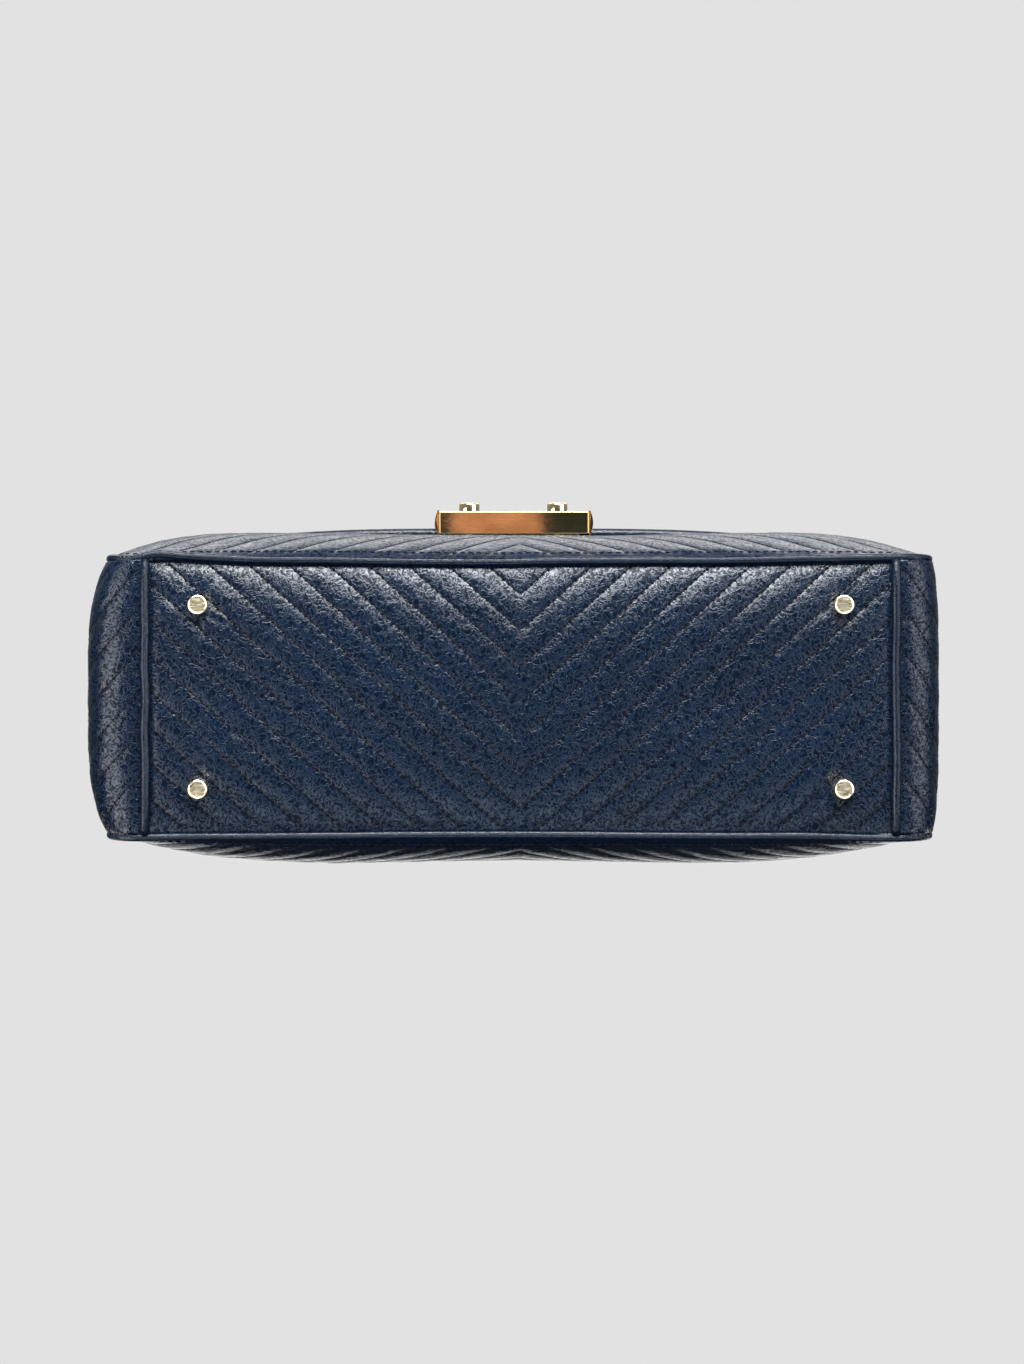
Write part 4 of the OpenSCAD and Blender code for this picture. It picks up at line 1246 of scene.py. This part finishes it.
def strap_ring(name, side):
    w, k = RING_HALF - RING_CORNER, RING_CORNER
    bow = [(RING_HALF * cos(a), -k + (RING_HALF - 0.2) * sin(a))
           for a in np.radians(np.linspace(0, -180, 41)[1:-1])]
    right, left = arc(w, -k, k, 90, 0, 6), arc(-w, -k, k, 180, 90, 6)
    line = closed_line([(-w, 0.0), (w, 0.0), *right, *bow, *left], 0.8)[:-1]
    path = np.c_[np.full(len(line), side * RING_X), line[:, 0], RING_Z + line[:, 1]]
    ring = sweep(f"{name}_d_ring", path, (1, 0, 0), round_section(WIRE_R), GOLD, closed=True)
    metal(ring, f"{name}_strap_ring", f"{name}_strap_ring")


def ring_tab(name, side):
    """The tab that holds a strap ring. Returns the head of its rivet."""
    level, steep = cos(LEAN), sin(LEAN)
    out, over = np.array([side * level, 0, steep]), np.array([0.0, 1.0, 0.0])

    def place(p):
        """p is the distance out of the gusset and the distance up from the ring's bar."""
        return side * (RING_X + p[0] * level - p[1] * steep), 0.0, RING_Z + p[0] * steep + p[1] * level

    line = [(TAB_BACK, 32.5), (TAB_BACK, 5.0), *arc(0, 0, LOOP_R, 160, 400, 27), (TAB_FRONT, 6.0),
            (TAB_FRONT, 30.5)]
    tab = strap_loop(f"{name}_strap_tab", line, place, 15.5, 34 + side, thick=1.7)
    leather(tab, "bag", f"{name}_ring_tab")
    box = closed_line(rectangle(-6.2, 7.5, 6.2, 29.0), 0.5)
    line = np.array([place((TAB_FRONT + 0.88, up)) + over * y for y, up in box])
    leather(path_stitches(f"{name}_tab_stitches", line, out, 2.1), "bag")
    head = [(r * 1.2, h) for r, h in DOME]
    axes = (over, np.cross(out, over), out)
    return lathe("rivet", head, place((TAB_FRONT + 0.8, 22.5)), axes, GOLD, segments=40)


_heads = []
for _name, _s in SIDES:
    strap_ring(_name, _s)
    _heads.append(ring_tab(_name, _s))
metal(joined("tab_rivet_heads", _heads), "bag", "ring_tab_rivets")


# Stage. Lamps are placed in metres, boards in millimetres.

def pale_floor():
    """A round floor that fades out to the background, and is clear when it is seen from below."""
    m = Nodes("pale floor", empty=True)
    length = m.vector("LENGTH", {0: m.node("TexCoord").outputs["Object"]}).outputs["Value"]
    hidden = m.math("MAXIMUM", m.ramp(length, 0.45, 2.0), m.node("NewGeometry").outputs["Backfacing"])
    pale = m.node("BsdfDiffuse", {"Color": (0.80, 0.80, 0.80, 1)})
    m.surface("Material", hidden, pale, m.node("BsdfTransparent"))
    obj = lathe("floor", [(0, 0), (2200, 0)], (0, -MID, 0), DOWN, m.owner)
    obj.visible_shadow = obj.visible_diffuse = obj.visible_glossy = False


def lamp(name, place, target, size, power, colour=(1, 1, 1)):
    data = bpy.data.lights.new(name, "AREA")
    data.shape, data.size, data.size_y = "RECTANGLE", size[0], size[1]
    data.energy, data.color = power, colour
    obj = link_object(name, data)
    obj.location = place
    obj.rotation_mode = "QUATERNION"
    obj.rotation_quaternion = (Vector(target) - Vector(place)).to_track_quat("-Z", "Y")
    obj.visible_camera = False


def card(name, x, y, size, dark, light):
    """A flat board beside the camera, seen only in reflections. Its tone drifts between two colours."""
    w, d, z = size[0] / 2, size[1] / 2, -1220
    m = Nodes(name, empty=True)
    drift = m.ramp(m.noise(m.stretch(m.where(), (0.02, 0.09, 1)), 1.0), 0.38, 0.62)
    glow = m.node("Emission", {"Color": m.mix(drift, (*dark, 1), (*light, 1))})
    m.node("OutputMaterial", {"Surface": glow.outputs[0]})
    corners = [(a, b - MID, z) for a, b in rectangle(x - w, y - d, x + w, y + d)]
    obj = make_object(name, corners, [[0, 1, 2, 3]], m.owner)
    obj.visible_camera = obj.visible_diffuse = obj.visible_shadow = False


def studio():
    """Plain grey to the camera. The bag gets a soft light that grows towards the front."""
    m = Nodes("studio", "worlds", empty=True)
    bpy.context.scene.world = m.owner
    way = m.node("SeparateXYZ", {0: m.node("TexCoord").outputs["Generated"]}).outputs
    front = m.math("MULTIPLY_ADD", way["Y"], -1.6, m.math("MULTIPLY", way["Z"], 0.3))
    strength = m.ramp(front, -0.25, 1.2, 0.03, 0.6, "LINEAR")
    light = m.node("Background", {"Color": (1, 1, 1, 1), "Strength": strength})
    seen = m.node("Background", {"Color": (0.76, 0.76, 0.76, 1)})
    rays = m.node("LightPath").outputs
    direct = m.math("MAXIMUM", rays["Is Camera Ray"], rays["Is Transmission Ray"])
    m.surface("World", direct, light, seen)


pale_floor()
lamp("front_low", (0.0, -1.05, -0.9), (0, -0.03, 0.05), (1.2, 0.6), 72, (0.94, 0.98, 1.0))
lamp("rear_low", (0.0, 0.75, -1.12), (0, 0.03, 0.05), (1.4, 0.7), 7.5, (0.85, 0.93, 1.0))
lamp("front_level", (0.0, -1.5, -0.35), (0, -0.05, 0.08), (1.4, 0.5), 11, (0.96, 0.98, 1.0))
lamp("front_high", (0.1, -1.35, 1.6), (0, 0, 0.15), (2.4, 1.0), 19)
lamp("back_high", (1.5, 1.3, 1.1), (0, 0, 0.15), (1.4, 1.0), 13)
lamp("back_left", (-1.4, 1.4, 1.1), (0, 0, 0.15), (1.4, 1.0), 13)
lamp("top", (0.0, 0.35, 1.8), (0, 0, 0.2), (1.6, 0.8), 8)
lamp("right_low", (1.15, -0.25, -0.75), (0, 0, 0.06), (1.4, 1.1), 19)
lamp("left_low", (-1.15, 0.25, -0.75), (0, 0, 0.06), (1.4, 1.1), 26)
card("warm_board", 25, -140, (82, 80), (0.24, 0.090, 0.050), (1.05, 0.56, 0.40))
card("dark_board", 106, -140, (80, 80), (0.012, 0.018, 0.018), (0.052, 0.066, 0.056))
card("left_board", -226, 15, (100, 190), (1.15, 1.12, 1.05), (1.5, 1.47, 1.38))
card("right_board", 306, 15, (100, 190), (1.15, 1.12, 1.05), (1.5, 1.47, 1.38))
studio()
bpy.context.scene.view_settings.view_transform = "Standard"


# Camera: under the bag, looking straight up, with the front towards the top of the picture.
# It stands to the left of the bag's middle, and the lens is shifted to bring the bag back into the picture.

PHOTO_H, MM_PER_PIXEL, DISTANCE = 1364, 0.413, 1.2
CAM_X = -40.0
RIGHT_PIXELS, BELOW_PIXELS = 8.5, 15  # where the bag's middle lies, from the middle of the picture
cam_data = bpy.data.cameras.new("camera")
cam_data.sensor_width = 36
cam_data.lens = cam_data.sensor_width / 2 / (PHOTO_H * MM_PER_PIXEL / 2000 / DISTANCE)
cam_data.shift_x = (-CAM_X / MM_PER_PIXEL - RIGHT_PIXELS) / PHOTO_H
cam = link_object("camera", cam_data)
cam.location = (CAM_X / 1000, (MID - BELOW_PIXELS * MM_PER_PIXEL) / 1000, FOOT_H / 1000 - DISTANCE)
cam.rotation_euler = (pi, 0, 0)
bpy.context.scene.camera = cam
